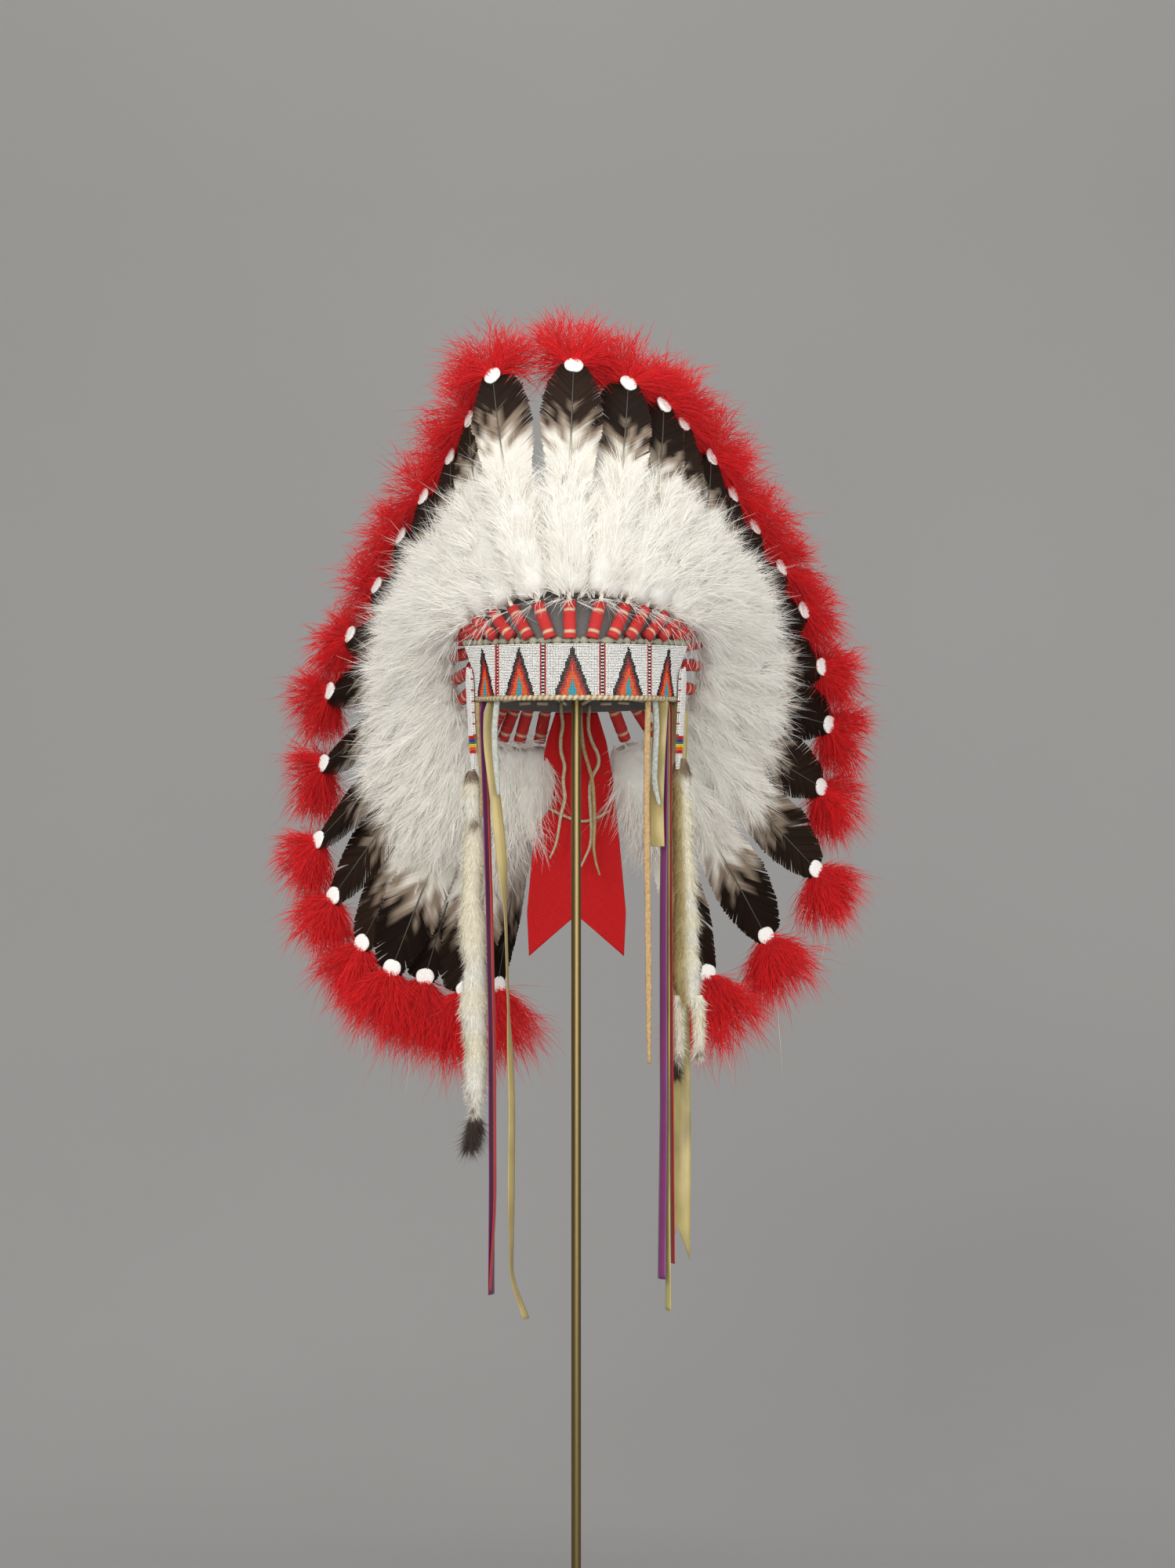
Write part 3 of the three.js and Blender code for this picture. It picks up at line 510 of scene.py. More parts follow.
tints = tints * rng.uniform(0.88, 1.06, (len(tints), 1))
centres += rng.normal(0, 0.00006, centres.shape)
glass = look("seed_beads", 700, 0.00001, vary=0.06, Roughness=0.25, Specular_IOR_Level=0.12)
size = SEED * rng.uniform(0.95, 1.06, (len(centres), 1, 1))
make("band_beads", [beads(centres, along, out, size, tints)], glass)

sweep = np.linspace(-BAND_END, BAND_END, 97)
inside, outside = [
    np.stack([band_point(sweep, clearance, up) for up in np.linspace(0, 1, 13)])
    for clearance in BACKING
]
backing = np.concatenate([inside, outside[::-1], inside[:1]])
backing_hide = look("white_hide", 800, 0.0002, colour=(0.2, 0.19, 0.17), vary=0.2, Roughness=0.8)
make("band_backing", [(backing, grid(backing), 1)], backing_hide, ["brow_band"])

# The band's edges. The upper one is a pale hide strip laced down in soft scallops; the lower one is
# whip-stitched with tan and cream thongs, so that it looks like a rope.
SCALLOP = 0.0085
STITCH_PITCH = 0.0048
ROPE_SIDES = 12
PALE_HIDE = np.array([(0.32, 0.31, 0.22)])
CREAM_THONG = np.array([(0.56, 0.5, 0.36)])
TAN_THONG = np.array([(0.36, 0.23, 0.09)])
sweep = np.linspace(-BAND_END, BAND_END, 560)
middle = band_point(sweep, 0.0025, 1)
middle[:, 2] += 0.0024
place = np.interp(sweep, fine, run)
uneven = 0.9 * np.sin(place * 130)
lump = np.abs(np.cos(np.pi * place / SCALLOP + uneven)) ** 0.8 * (0.8 + 0.2 * np.sin(place * 317))
side = unit(np.stack([np.sin(np.radians(sweep)), -np.cos(np.radians(sweep)), 0 * sweep], -1))
lump_wide = 0.0021 * (0.6 + 0.6 * lump)
lump_high = 0.0024 * (0.42 + 0.95 * lump)
points, faces = swept(middle, side, (0, 0, 1), lump_wide, lump_high, 10)
# Painted shade: the pale hide is coloured darker where it narrows between the scallops, and a little lighter
# on their crowns, as painted light.
lacing_tint_with_painted_shade = PALE_HIDE * np.repeat(0.75 + 0.3 * lump, 10)[:, None]
make("top_edge_lacing", [(points, faces, lacing_tint_with_painted_shade)], hide, ["band_top_binding"])

middle = band_point(sweep, 0.0022, 0)
middle[:, 2] -= 0.0021
turn = np.tile(np.arange(ROPE_SIDES) * 2 * np.pi / ROPE_SIDES, len(sweep))
phase = turn - np.repeat(place, ROPE_SIDES) * 2 * np.pi / STITCH_PITCH
points, faces = swept(middle, side, (0, 0, 1), 0.0023, 0.0022, ROPE_SIDES)
core = np.repeat(middle, ROPE_SIDES, axis=0)
points = core + (points - core) * (0.94 + 0.14 * np.abs(np.cos(phase / 2)))[:, None]
cream = (np.cos(phase / 2) ** 2)[:, None]
rope_tint = cream * CREAM_THONG + (1 - cream) * TAN_THONG
make("whip_stitched_edge", [(points, faces, rope_tint)], hide, ["band_bottom_binding"])

# The beaded drops. Narrow hide strips beaded in rows, hung edge-on from both ends of the band and slanting
# in a little, with red beads along the edges and a rainbow stripe near the foot.
RAINBOW = [RED_BEAD, (0.03, 0.05, 0.25), (0.02, 0.25, 0.08), (0.85, 0.62, 0.05), ORANGE_BEAD, RED_BEAD]
RAINBOW_FROM = 0.056
RAINBOW_TO = 0.0698
RAINBOW_STEP = 0.0023
STRIP_HIDE = (0.62, 0.6, 0.55)
DROP_LONG = 0.084
DROP_ROWS = 64
DROP_SHAPE = ([0, 0.12, 0.8, 1], [0.5, 1, 0.9, 0.4])
SLANT = 0.05


def drop_frame(side):
    """A drop's top, the way across it and the way its beaded face looks."""
    top = band_point(side * 72.0, 0.0052, 24 / 41)
    wide = unit(around(side * 73.0, STRING_OUT) - around(side * 72.0, STRING_OUT))
    return top, wide, np.array([wide[1], -wide[0], 0]) * side


for side, name in ((-1, "left"), (1, "right")):
    top, wide, out = drop_frame(side)
    slope = np.array((-side * SLANT, 0, -1))
    down = np.linspace(0, DROP_LONG, 15)
    share = np.interp(down / DROP_LONG, *DROP_SHAPE)
    line = top + np.outer(down, slope)
    strip = swept(line, wide, out, 0.0092 * share, 0.0009, 8)
    places, colours = [], []
    for r in range(DROP_ROWS):
        depth = (r + 0.5) * SEED
        half = 0.0095 * np.interp(depth / DROP_LONG, *DROP_SHAPE)
        count = max(3, int(2 * half / SEED))
        in_rainbow = RAINBOW_FROM <= depth < RAINBOW_TO
        colour = RAINBOW[int((depth - RAINBOW_FROM) / RAINBOW_STEP)] if in_rainbow else WHITE_BEAD
        edge_colour = RED_BEAD if r % 7 == 0 and depth < RAINBOW_FROM else colour
        across = (np.arange(count) - (count - 1) / 2) * SEED
        for a in across:
            edge = abs(a) > half - 1.5 * SEED
            places.append(top + wide * a + out * (0.0007 if edge else 0.0013) + slope * depth)
            colours.append(edge_colour if edge else colour)
        for a in (-half, half):
            places.append(top + wide * a - out * 0.0004 + slope * depth)
            colours.append(edge_colour)
    places = np.array(places)
    count = len(places)
    drop_beads = beads(
        places,
        np.tile(wide, (count, 1)),
        np.tile(out, (count, 1)),
        SEED * rng.uniform(0.95, 1.08, (count, 1, 1)),
        np.array(colours) * rng.uniform(0.88, 1.06, (count, 1)),
    )
    make(name + "_drop_strip", [(*strip, STRIP_HIDE)], backing_hide, ["beaded_drop_" + name])
    make(name + "_drop_beads", [drop_beads], glass)

# The feathers. Thirty-one large tail feathers of one length, from the lowest on the left over the top to
# the lowest on the right. All pieces of a feather follow the same bowed line from its seat on the felt.
FEATHER = 0.262
# Each feather's seat in degrees round the cap, and how far its tip lies to the right and up, as shares of
# its length.
SEATS = np.array([
    (-164, -0.17, -0.93), (-154, -0.22, -0.94), (-146, -0.31, -0.9), (-138, -0.38, -0.87),
    (-130, -0.45, -0.79), (-121, -0.52, -0.65), (-112, -0.55, -0.5), (-103, -0.52, -0.29),
    (-93, -0.49, -0.1), (-83, -0.42, 0.05), (-72, -0.34, 0.2), (-61, -0.28, 0.36),
    (-49, -0.24, 0.48), (-37, -0.2, 0.6), (-26, -0.19, 0.71), (-14, -0.18, 0.83),
    (-3, 0.01, 0.86), (9, 0.11, 0.81), (20, 0.16, 0.75), (30, 0.17, 0.7), (41, 0.21, 0.6),
    (52, 0.24, 0.49), (64, 0.28, 0.39), (76, 0.35, 0.26), (88, 0.42, 0.15), (100, 0.49, 0.02),
    (112, 0.54, -0.11), (124, 0.55, -0.28), (136, 0.57, -0.55), (148, 0.45, -0.77), (161, 0.32, -0.89),
])
COUNT = len(SEATS)
MIDDLE = 16
REAR = 125
NODES = ["feather_%02d" % (i + 1) for i in range(COUNT)]
seat, out_share, up_share = SEATS.T
chord = np.stack([out_share, np.sqrt(1 - out_share**2 - up_share**2), up_share], -1)
wall = straight_out(seat)
bow = 0.1 + 0.35 * np.maximum(0, np.cos(np.radians(seat)))
first_way = unit(chord + wall * bow[:, None])
# The foot stands off the felt by as much as its round wrap needs, so that the wrap rests on the cap.
stand_off = 0.00455 * np.sqrt(1 - (first_way * wall).sum(-1) ** 2) + 0.00055
foot = around(seat, 0) + wall * stand_off[:, None]
foot[:, 2] = 0.85 - 0.052 * smoothstep(seat, 75, 130)
knee = foot + first_way * 0.38 * FEATHER
tip = foot + chord * FEATHER
# Past the tip the plume droops.
hang = unit(unit(tip - knee) + (0, 0, -0.32))


def middle_of(i, d):
    """Points on a feather's middle line, at distances from its seat."""
    t = np.clip(d / FEATHER, 0, 1)[:, None]
    bent = (1 - t) ** 2 * foot[i] + 2 * t * (1 - t) * knee[i] + t**2 * tip[i]
    return bent + np.maximum(0, d - FEATHER)[:, None] * hang[i]


def feather_frame(i, d):
    """Points, the way to the next feather, the way to the front and the way to the tip, at distances."""
    way = middle_of(min(i + 1, COUNT - 1), d) - middle_of(max(i - 1, 0), d)
    tangent = unit(middle_of(i, d + 0.002) - middle_of(i, np.maximum(d - 0.002, 0)))
    across = unit(way - tangent * (way * tangent).sum(-1, keepdims=True))
    return middle_of(i, d), across, np.cross(across, tangent), tangent


# The quill wraps. Red wool cloth rolled round each quill's foot and bound with cream sinew twice; those of
# the low feathers at the back are longer.
wool = look("red_wool", 1600, 0.0004, vary=0.35, Roughness=1.0, Specular_IOR_Level=0.2, Sheen_Weight=0.03)
RED_WOOL = np.array((0.56, 0.04, 0.038))
CREAM = np.array((0.68, 0.52, 0.34))
WRAP_RADIUS = 0.00515
WRAP_RINGS = 45
WRAP_SIDES = 14
wraps = []
for i in range(COUNT):
    low_rear = abs(seat[i]) > REAR
    d = np.linspace(-0.005, 0.046 if low_rear else 0.032, WRAP_RINGS)
    here, across, front, _ = feather_frame(i, np.maximum(d, 0))
    along_wall = unit(first_way[i] - wall[i] * first_way[i].dot(wall[i]))
    here = here + along_wall * np.minimum(d, 0)[:, None]
    bound = np.zeros(WRAP_RINGS)
    for tied in (0.012, 0.037) if low_rear else (0.0005, 0.0225):
        bound = np.maximum(bound, np.exp(-(((d - tied) / 0.0014) ** 4)))
    radius = WRAP_RADIUS + 0.0001 * rng.normal(size=WRAP_RINGS) - 0.0005 * bound
    radius -= 0.001 * (d > d[-1] - 0.0006)
    points, faces = swept(here, across, front, radius, radius, WRAP_SIDES)
    tint = RED_WOOL * (1 - bound[:, None]) + CREAM * bound[:, None]
    wraps.append((points, faces, np.repeat(tint * rng.uniform(0.85, 1.05), WRAP_SIDES, axis=0)))
make("red_quill_wraps", wraps, wool)

# The vanes. Barbs lie close along a shaft that is pale at the foot and dark at the tip. They are white at
# the foot, blotched brown in the middle and dark brown for the last 30 to 60 mm, and split in places.
DARK_BROWN = np.array((0.019, 0.011, 0.007))
MID_BROWN = np.array((0.17, 0.105, 0.06))
OFF_WHITE = np.array((0.72, 0.68, 0.6))
PALE_SHAFT = np.array((0.8, 0.74, 0.6))
BARBS = 120
# How far each vane is turned about its quill, in degrees, by its seat. A positive turn brings the edge
# next to the following feather forward.
TURN_SEATS = [-165, -154, -135, -115, -14, -3, 9, 80, 105, 148, 161]
TURNS = [15, -10, -4, -20, -24, 0, 24, 24, -3, -8, 24]
vanes = []
for i in range(COUNT):
    d = np.linspace(0.06, 0.2585, BARBS)
    here, across, front, tangent = feather_frame(i, d)
    turn = math.radians(np.interp(seat[i], TURN_SEATS, TURNS))
    flat_way = across * math.cos(turn) + front * math.sin(turn)
    flat_front = front * math.cos(turn) - across * math.sin(turn)
    half = np.interp(
        d,
        [0.05, 0.1, 0.15, 0.176, 0.193, 0.208, 0.226, 0.249, 0.2585],
        [0.008, 0.013, 0.02, 0.0245, 0.0262, 0.0245, 0.02, 0.0115, 0.007],
    )
    dark_from = (0.221 if i < 4 else 0.209) + rng.uniform(-0.011, 0.011)
    own_brown = DARK_BROWN * rng.uniform(0.5, 1.3)
    for side in (-1, 1):
        # Ten barbs at a time cling together, and between such tufts the vane parts.
        split = np.repeat(rng.normal(0, 1, BARBS // 10 + 1), 10)[:BARBS]
        even_lean = np.interp(d, [0.05, 0.2, 0.258], [58, 44, 30])
        lean = np.radians(even_lean + 1.7 * split + rng.normal(0, 0.5, BARBS))
        wider = 1.0 + 0.14 * side * np.sign(MIDDLE - i)
        uneven = 1 + 0.04 * split * rng.uniform(0, 1) + rng.normal(0, 0.015, BARBS)
        length = wider * half / np.sin(lean) * uneven
        length = np.minimum(length, (0.2665 - d) / np.cos(lean))
        s = np.linspace(0, 1, 5)
        way = flat_way * (side * np.sin(lean))[:, None] + tangent * np.cos(lean)[:, None]
        spread = flat_way * (-side * np.cos(lean))[:, None] + tangent * np.sin(lean)[:, None]
        run_out = length[:, None] * s
        line = here[:, None] + way[:, None] * run_out[..., None]
        line = line + tangent[:, None] * (0.1 * run_out * s)[..., None]
        line = line - flat_front[:, None] * (run_out**2 * 3.2)[..., None]
        thick = 0.00108 * (1.15 - 0.5 * s**2)
        edges = spread[:, None] * thick[None, :, None]
        points = np.stack([line - edges, line + edges], 2)
        base_vertex = (np.arange(BARBS)[:, None] * 5 + np.arange(4)) * 2
        faces = np.stack([base_vertex, base_vertex + 1, base_vertex + 3, base_vertex + 2], -1).reshape(-1, 4)
        reached = d[:, None] + run_out * np.cos(lean)[:, None]
        waver = 2.2 * np.sin(run_out * side * 230 + i)
        blotch = np.sin(reached * 210 + 1.7 * i + waver + 0.05 * rng.normal(size=reached.shape))
        ragged = reached - dark_from + 0.012 * blotch + rng.normal(0, 0.0016, (BARBS, 1))
        dark = np.clip(ragged / 0.01, 0, 1)[..., None]
        brown = np.clip((ragged + 0.026) / 0.018, 0, 1)[..., None] * 0.85
        tone = own_brown * rng.uniform(0.75, 1.35, (BARBS, 1, 1))
        tint = (OFF_WHITE * (1 - brown) + MID_BROWN * brown) * (1 - dark) + tone * dark
        vanes.append((points.reshape(-1, 3), faces, np.repeat(tint, 2, axis=1).reshape(-1, 3)))
    shaft_d = np.linspace(0.03, 0.26, 40)
    here, across, front, _ = feather_frame(i, shaft_d)
    radius = np.interp(shaft_d, [0.03, 0.06, 0.17, 0.26], [0.0019, 0.0016, 0.0008, 0.0004])
    points, faces = swept(here + front * 0.0006, across, front, radius, radius, 6)
    pale = np.interp(shaft_d, [0.03, 0.17, 0.2, 0.26], [1.0, 0.9, 0.16, 0.08])[:, None]
    vanes.append((points, faces, np.repeat(pale * PALE_SHAFT, 6, axis=0)))
vane = look("feather_vane", 2500, 0.0001, vary=0.3, Roughness=0.65, Specular_IOR_Level=0.05)
make("feather_vanes", vanes, vane, NODES, smooth=False)

# The tip discs. Small rounds of white kid leather glued over the tip of each feather.
DISC_SIDES = 22
discs = []
for i in range(COUNT):
    here, across, front, tangent = feather_frame(i, np.array([FEATHER]))
    rise = np.array([-0.0012, -0.0011, 0.0004, 0.0012, 0.0014])
    radius = np.array([0.0056, 0.0077, 0.008, 0.0072, 0.004])
    turn = np.arange(DISC_SIDES) * 2 * np.pi / DISC_SIDES
    wobble = 1 + 0.03 * np.sin(3 * turn + i) + 0.02 * np.sin(5 * turn + 2 * i)
    upright = tangent[0] * 0.97 + front[0] * 0.22
    ring = across[0] * np.cos(turn)[:, None] + upright * np.sin(turn)[:, None]
    ahead = front[0] * 0.97 - tangent[0] * 0.22
    middle = here[0] + front[0] * 0.0015
    points = middle + ring[None] * (radius[:, None] * wobble)[..., None] + ahead * rise[:, None, None]
    wrapped = np.concatenate([points, points[:, :1]], 1)
    last = (len(rise) - 1) * (DISC_SIDES + 1)
    faces = grid(wrapped).tolist() + [list(range(DISC_SIDES)), list(range(last, last + DISC_SIDES))]
    discs.append((wrapped.reshape(-1, 3), faces, (0.86, 0.84, 0.8)))
kid = look("white_kid", 900, 0.0003, vary=0.15, Roughness=0.85)
make("tip_discs", discs, kid)


def strands(roots, ways, bends, lengths, width, facing):
    """Fine tapering hairs, each a flat bent ribbon that faces roughly the given way and ends in a point."""
    side = unit(np.cross(facing + rng.normal(0, 0.35, ways.shape), ways)) * (width / 2)
    reach = lengths[:, None]
    half_way = roots + ways * reach * 0.5 + bends * reach * 0.25
    end = roots + ways * reach + bends * reach
    points = np.stack([roots - side, roots + side, half_way - side * 0.7, half_way + side * 0.7, end], 1)
    first = np.arange(len(roots))[:, None] * 5
    return points.reshape(-1, 3), (first + np.array([0, 1, 3, 2]), first + np.array([2, 3, 4]))


# The white down. Full, soft marabou tied over the front of every feather's foot, so that together they
# make a thick ring round the brow. A solid heart of down lies under the loose hairs.
down_look = look("white_down", 160, 0.0008, vary=0.08, lets_through=0.4, Roughness=1.0, Sheen_Weight=0.3)
HEART_WHITE = (0.94, 0.92, 0.87)
DOWN_WHITE = np.array((0.97, 0.95, 0.895))
DOWN_START = 0.029
DOWN_END = 0.166
HAIR_WIDE = 0.00055
clumps = 150
each = 16
number = clumps * each
hearts, left_down, right_down = [], [], []
for i in range(COUNT):
    start = DOWN_START + (0.012 if abs(seat[i]) > REAR else 0)
    length = DOWN_END - start
    d = np.linspace(start + 0.012, start + length * 0.92, 16)
    here, across, front, _ = feather_frame(i, d)
    share = (d - start) / length
    full = np.interp(share, [0, 0.1, 0.3, 0.66, 0.92], [0.25, 0.65, 0.85, 0.95, 0.12])
    # The lowest rear feathers' down bulges forward, over the edges of the red cloth.
    bulge = np.interp(abs(seat[i]), [145, 154, 160], [0, 0.015, 0.03])
    bulge_way = np.array((0.08 if i < MIDDLE else -0.14, -1.0, 0)) * bulge
    here = here + np.sin(np.pi * share)[:, None] * bulge_way
    here = here + front * (0.006 * full)[:, None]
    hearts.append((*swept(here, across, front, 0.02 * full, 0.0135 * full, 14), HEART_WHITE))
    share = np.repeat(rng.beta(1.3, 1.05, clumps) * 0.93, each) + rng.normal(0, 0.02, number)
    share = np.clip(share, 0.02, 0.97)
    at_back = 0.45 if bulge > 0.02 else 0.22
    turn = rng.uniform(-0.25, np.pi + 0.25, clumps)
    turn = np.repeat(turn + (rng.uniform(size=clumps) < at_back) * np.pi, each)
    turn = turn + rng.normal(0, 0.1, number)
    here, across, front, tangent = feather_frame(i, start + share * length)
    full = np.interp(share, [0, 0.24, 0.66, 1], [0.45, 0.85, 1, 0.5])[:, None]
    depth = np.where(np.sin(turn) > 0, 0.026, 0.01)[:, None]
    outward = across * np.cos(turn)[:, None] * 0.022 + front * np.sin(turn)[:, None] * depth
    inner = np.repeat(rng.uniform(0.45, 0.95, clumps), each)[:, None]
    lean = np.repeat(rng.normal(0, 0.17, (clumps, 3)), each, axis=0)
    ways = unit(unit(outward) * 0.75 + tangent * 1.0 + lean + rng.normal(0, 0.26, (number, 3)))
    bends = rng.normal(0, 0.2, (number, 3)) + lean * 0.3 + (0, 0, -0.14)
    lengths = np.repeat(rng.uniform(0.018, 0.034, clumps), each) * rng.uniform(0.6, 1.15, number)
    # The lowest hairs hang loosely over the wraps.
    wisp = share < 0.035
    ways[wisp] = unit(ways[wisp] + front[wisp] * 0.5 - tangent[wisp] * 1.1)
    roots = here + outward * full * inner + np.sin(np.pi * share)[:, None] * bulge_way
    tone = np.repeat(rng.uniform(0.92, 1.0, clumps), each)[:, None] * DOWN_WHITE
    hairs = strands(roots, ways, bends, lengths, HAIR_WIDE, unit(outward) + front * 0.5)
    (left_down if i < MIDDLE else right_down).append((*hairs, np.repeat(tone, 5, axis=0)))
make("down_hearts", hearts, down_look)
make("left_down", left_down, down_look)
make("right_down", right_down, down_look)

# The red tip plumes. A bunch of dyed marabou is tied behind each tip disc and fans out past it: loose hairs
# round a solid heart. Those nearest the middle are the largest. A few long pale hairs hang from low ones.
plume_look = look("red_marabou", 160, 0.0008, vary=0.15, lets_through=0.35, Roughness=0.9, Sheen_Weight=0.1)
HEART_RED = (0.62, 0.009, 0.012)
PLUME_RED = np.array((0.8, 0.01, 0.015))
LONG_HAIR = (0.75, 0.68, 0.52)
SIDE_ROOM = 0.278
clumps = 66
each = 48
number = clumps * each
left_plumes, right_plumes = [], []
for i in range(COUNT):
    plumes = left_plumes if i < MIDDLE else right_plumes
    here, across, front, _ = feather_frame(i, np.array([FEATHER]))
    root = here[0] - front[0] * 0.001
    grow = np.interp(abs(tip[i][0]), [0.13, 0.2], [1.3, 1.0])
    d = np.linspace(0.001, 0.034, 9) * grow
    size = np.array([0.002, 0.006, 0.009, 0.011, 0.012, 0.012, 0.01, 0.007, 0.002]) * grow
    stem = root + hang[i] * d[:, None] - np.outer(d**2, (0, 0, 3.0))
    plumes.append((*swept(stem, across[0], front[0], size, size * 0.6, 12), HEART_RED))
    sideways = rng.uniform(-1.3, 1.3, clumps)[:, None] * np.interp(abs(seat[i]), [100, 130], [1, 0.8])
    fan = sideways * across[0] + rng.uniform(-0.7, 1.0, clumps)[:, None] * front[0]
    stem_way = np.repeat(unit(hang[i] + fan), each, axis=0)
    stem_way = unit(stem_way + rng.normal(0, 0.13, (number, 3)))
    share = rng.uniform(0.0, 1.0, number)
    out_along = (share * np.repeat(rng.uniform(0.026, 0.042, clumps) * grow, each))[:, None]
    roots = root + stem_way * out_along + np.array((0, 0, -1.0)) * out_along**2 * 3.0
    ways = unit(stem_way + rng.normal(0, 0.3, (number, 3)))
    bends = rng.normal(0, 0.22, (number, 3)) + (0, 0, -0.36)
    lengths = rng.uniform(0.012, 0.028, number) * grow
    # Hairs that would reach too far to the side are shorter.
    room = SIDE_ROOM - np.abs(roots[:, 0])
    lengths = np.minimum(lengths, np.maximum(0.004, room / np.maximum(0.2, np.abs(ways[:, 0]) + 0.15)))
    red = PLUME_RED * np.repeat(rng.uniform(0.8, 1.1, clumps), each)[:, None]
    facing = stem_way - hang[i] * (stem_way * hang[i]).sum(-1, keepdims=True) + front[0] * 0.4
    hairs = strands(roots, ways, bends, lengths, HAIR_WIDE, facing)
    plumes.append((*hairs, np.repeat(red, 5, axis=0)))
long_haired = np.array([2, 4, 5, 28, 29, 30])
number = len(long_haired)
hairs = strands(
    tip[long_haired] + hang[long_haired] * 0.03,
    unit(rng.normal(0, 0.15, (number, 3)) + (0, 0, -1.0)),
    rng.normal(0, 0.12, (number, 3)),
    rng.uniform(0.06, 0.09, number),
    0.0007,
    np.array((0, -1.0, 0)),
)
left_plumes.append((*hairs, LONG_HAIR))
make("left_tip_plumes", left_plumes, plume_look)
make("right_tip_plumes", right_plumes, plume_look)

# The ermines. Rolled white weasel skins with tan leather tops, hung under the beaded drops. The left one
# ends in its long dark tail, the right one in its hind legs and a short dark tail.
fur_look = look("ermine_fur", 500, 0.0005, vary=0.15, lets_through=0.3, Roughness=0.95, Sheen_Weight=0.1)
FUR = np.array((0.91, 0.885, 0.81))
BROWN_FUR = np.array((0.2, 0.11, 0.05))
TAIL_FUR = np.array((0.085, 0.055, 0.04))
BARE_SKIN = np.array((0.5, 0.4, 0.17))
SKIN_WIDE = 0.0098
SKIN_DEEP = 0.0046
SKIN_SHIFT = 0.023


def ermine_top(side):
    """The place under a drop from which a skin hangs."""
    return drop_frame(side)[0] + (side * (0.004 - DROP_LONG * SLANT), 0, -0.0843)


def skin(top, length, rows, colour_at, hairs_per_mm=38, hair=1.0):
    """A rolled skin and its hairs. Rows are shares: down, wide, deep and how far to the right."""
    down, wide, deep, right = np.array(rows).T
    s = np.linspace(0, 1, max(12, int(length * 250)))
    w, e, r = (np.interp(s, down, column) for column in (wide, deep, right))
    w = w * (1 + 0.09 * np.sin(s * 31) + 0.07 * np.sin(s * 77))
    line = top + np.stack([r * SKIN_SHIFT, 0 * s, -s * length], -1)
    core = swept(line, (1, 0, 0), (0, 1, 0), w * SKIN_WIDE, e * SKIN_DEEP, 12)
    core_turn = np.tile(np.arange(12) * np.pi / 6, len(s))
    core_tint = colour_at(np.repeat(s, 12), core_turn) * 0.9
    number = int(length * 1000 * hairs_per_mm)
    at = rng.uniform(0, 1, number)
    turn = rng.uniform(0, 2 * np.pi, number)
    outward_x = np.cos(turn) * np.interp(at, s, w) * SKIN_WIDE
    outward_y = np.sin(turn) * np.interp(at, s, e) * SKIN_DEEP
    outward = np.stack([outward_x, outward_y, 0 * at], -1)
    middle = top + np.stack([np.interp(at, s, r) * SKIN_SHIFT, 0 * at, -at * length], -1)
    ways = unit(unit(outward) * 0.45 + (0, 0, -1.0) + rng.normal(0, 0.25, (number, 3)))
    bends = rng.normal(0, 0.15, (number, 3))
    lengths = rng.uniform(0.004, 0.009, number) * hair
    hairs = strands(middle + outward * 0.95, ways, bends, lengths, 0.0005, unit(outward))
    hair_tint = colour_at(at, turn) * rng.uniform(0.85, 1.1, (number, 1))
    return [(*core, core_tint), (*hairs, np.repeat(hair_tint, 5, axis=0))]


def spotted(spots, skin_from=2.0, leather_to=-1.0):
    """White fur with brown spots at (share down, size), a leather top and bare skin on its left side."""

    def colour_at(s, turn):
        front = np.clip(-np.sin(turn + 0.5 * np.sin(s * 40)) * 4 - 2.9, 0, 1)
        brown = sum((np.exp(-(((s - place) / size) ** 2)) for place, size in spots), 0 * s) * front
        brown = np.clip(np.maximum(brown, (leather_to - s) / 0.02), 0, 0.85)[:, None]
        yellow = (0.5 + 0.5 * np.sin(s * 23 + np.sin(s * 9) * 3))[:, None]
        fur = (FUR * (1 - brown) + BROWN_FUR * brown) * (1 - yellow * np.array((0.0, 0.03, 0.13)))
        bare = (np.clip((s - skin_from) / 0.1, 0, 1) * np.clip(0.6 - np.cos(turn) * 2, 0, 1))[:, None]
        return fur * (1 - bare) + BARE_SKIN * bare

    return colour_at


def tail_colour(s, turn):
    return np.tile(TAIL_FUR, (len(s), 1))


left_top = ermine_top(-1) + (0.002, 0, 0)
left_skin = skin(
    left_top, 0.282,
    [(0, 0.3, 0.5, 0), (0.05, 0.65, 0.9, 0), (0.12, 0.7, 0.9, 0.02), (0.22, 0.85, 1, 0.14),
     (0.36, 0.8, 1, -0.02), (0.45, 1.05, 1, 0.06), (0.56, 0.9, 1, 0.14), (0.7, 1.05, 1, 0.08),
     (0.82, 0.85, 0.9, 0.18), (0.92, 0.8, 0.9, 0.12), (0.95, 0.4, 0.6, 0.16), (1, 0.3, 0.5, 0.1)],
    spotted([(0.15, 0.013), (0.975, 0.012)], leather_to=0.035),
)
left_tail = skin(
    left_top + (0.0028, 0, -0.279), 0.024,
    [(0, 0.14, 0.2, 0), (0.4, 0.2, 0.2, -0.02), (1, 0.03, 0.03, -0.2)],
    tail_colour, hairs_per_mm=75, hair=2.2,
)
make("left_ermine_skin", left_skin + left_tail, fur_look, ["ermine_left"])
right_top = ermine_top(1) + (0.001, 0.002, 0.01)
right_skin = skin(
    right_top, 0.2,
    [(0, 0.35, 0.5, -0.1), (0.05, 0.7, 0.9, -0.1), (0.3, 0.8, 1, -0.05), (0.6, 0.9, 1, 0.05),
     (0.85, 1.15, 1, 0.05), (1, 1, 0.8, 0.15)],
    spotted([], skin_from=0.0, leather_to=0.07),
)
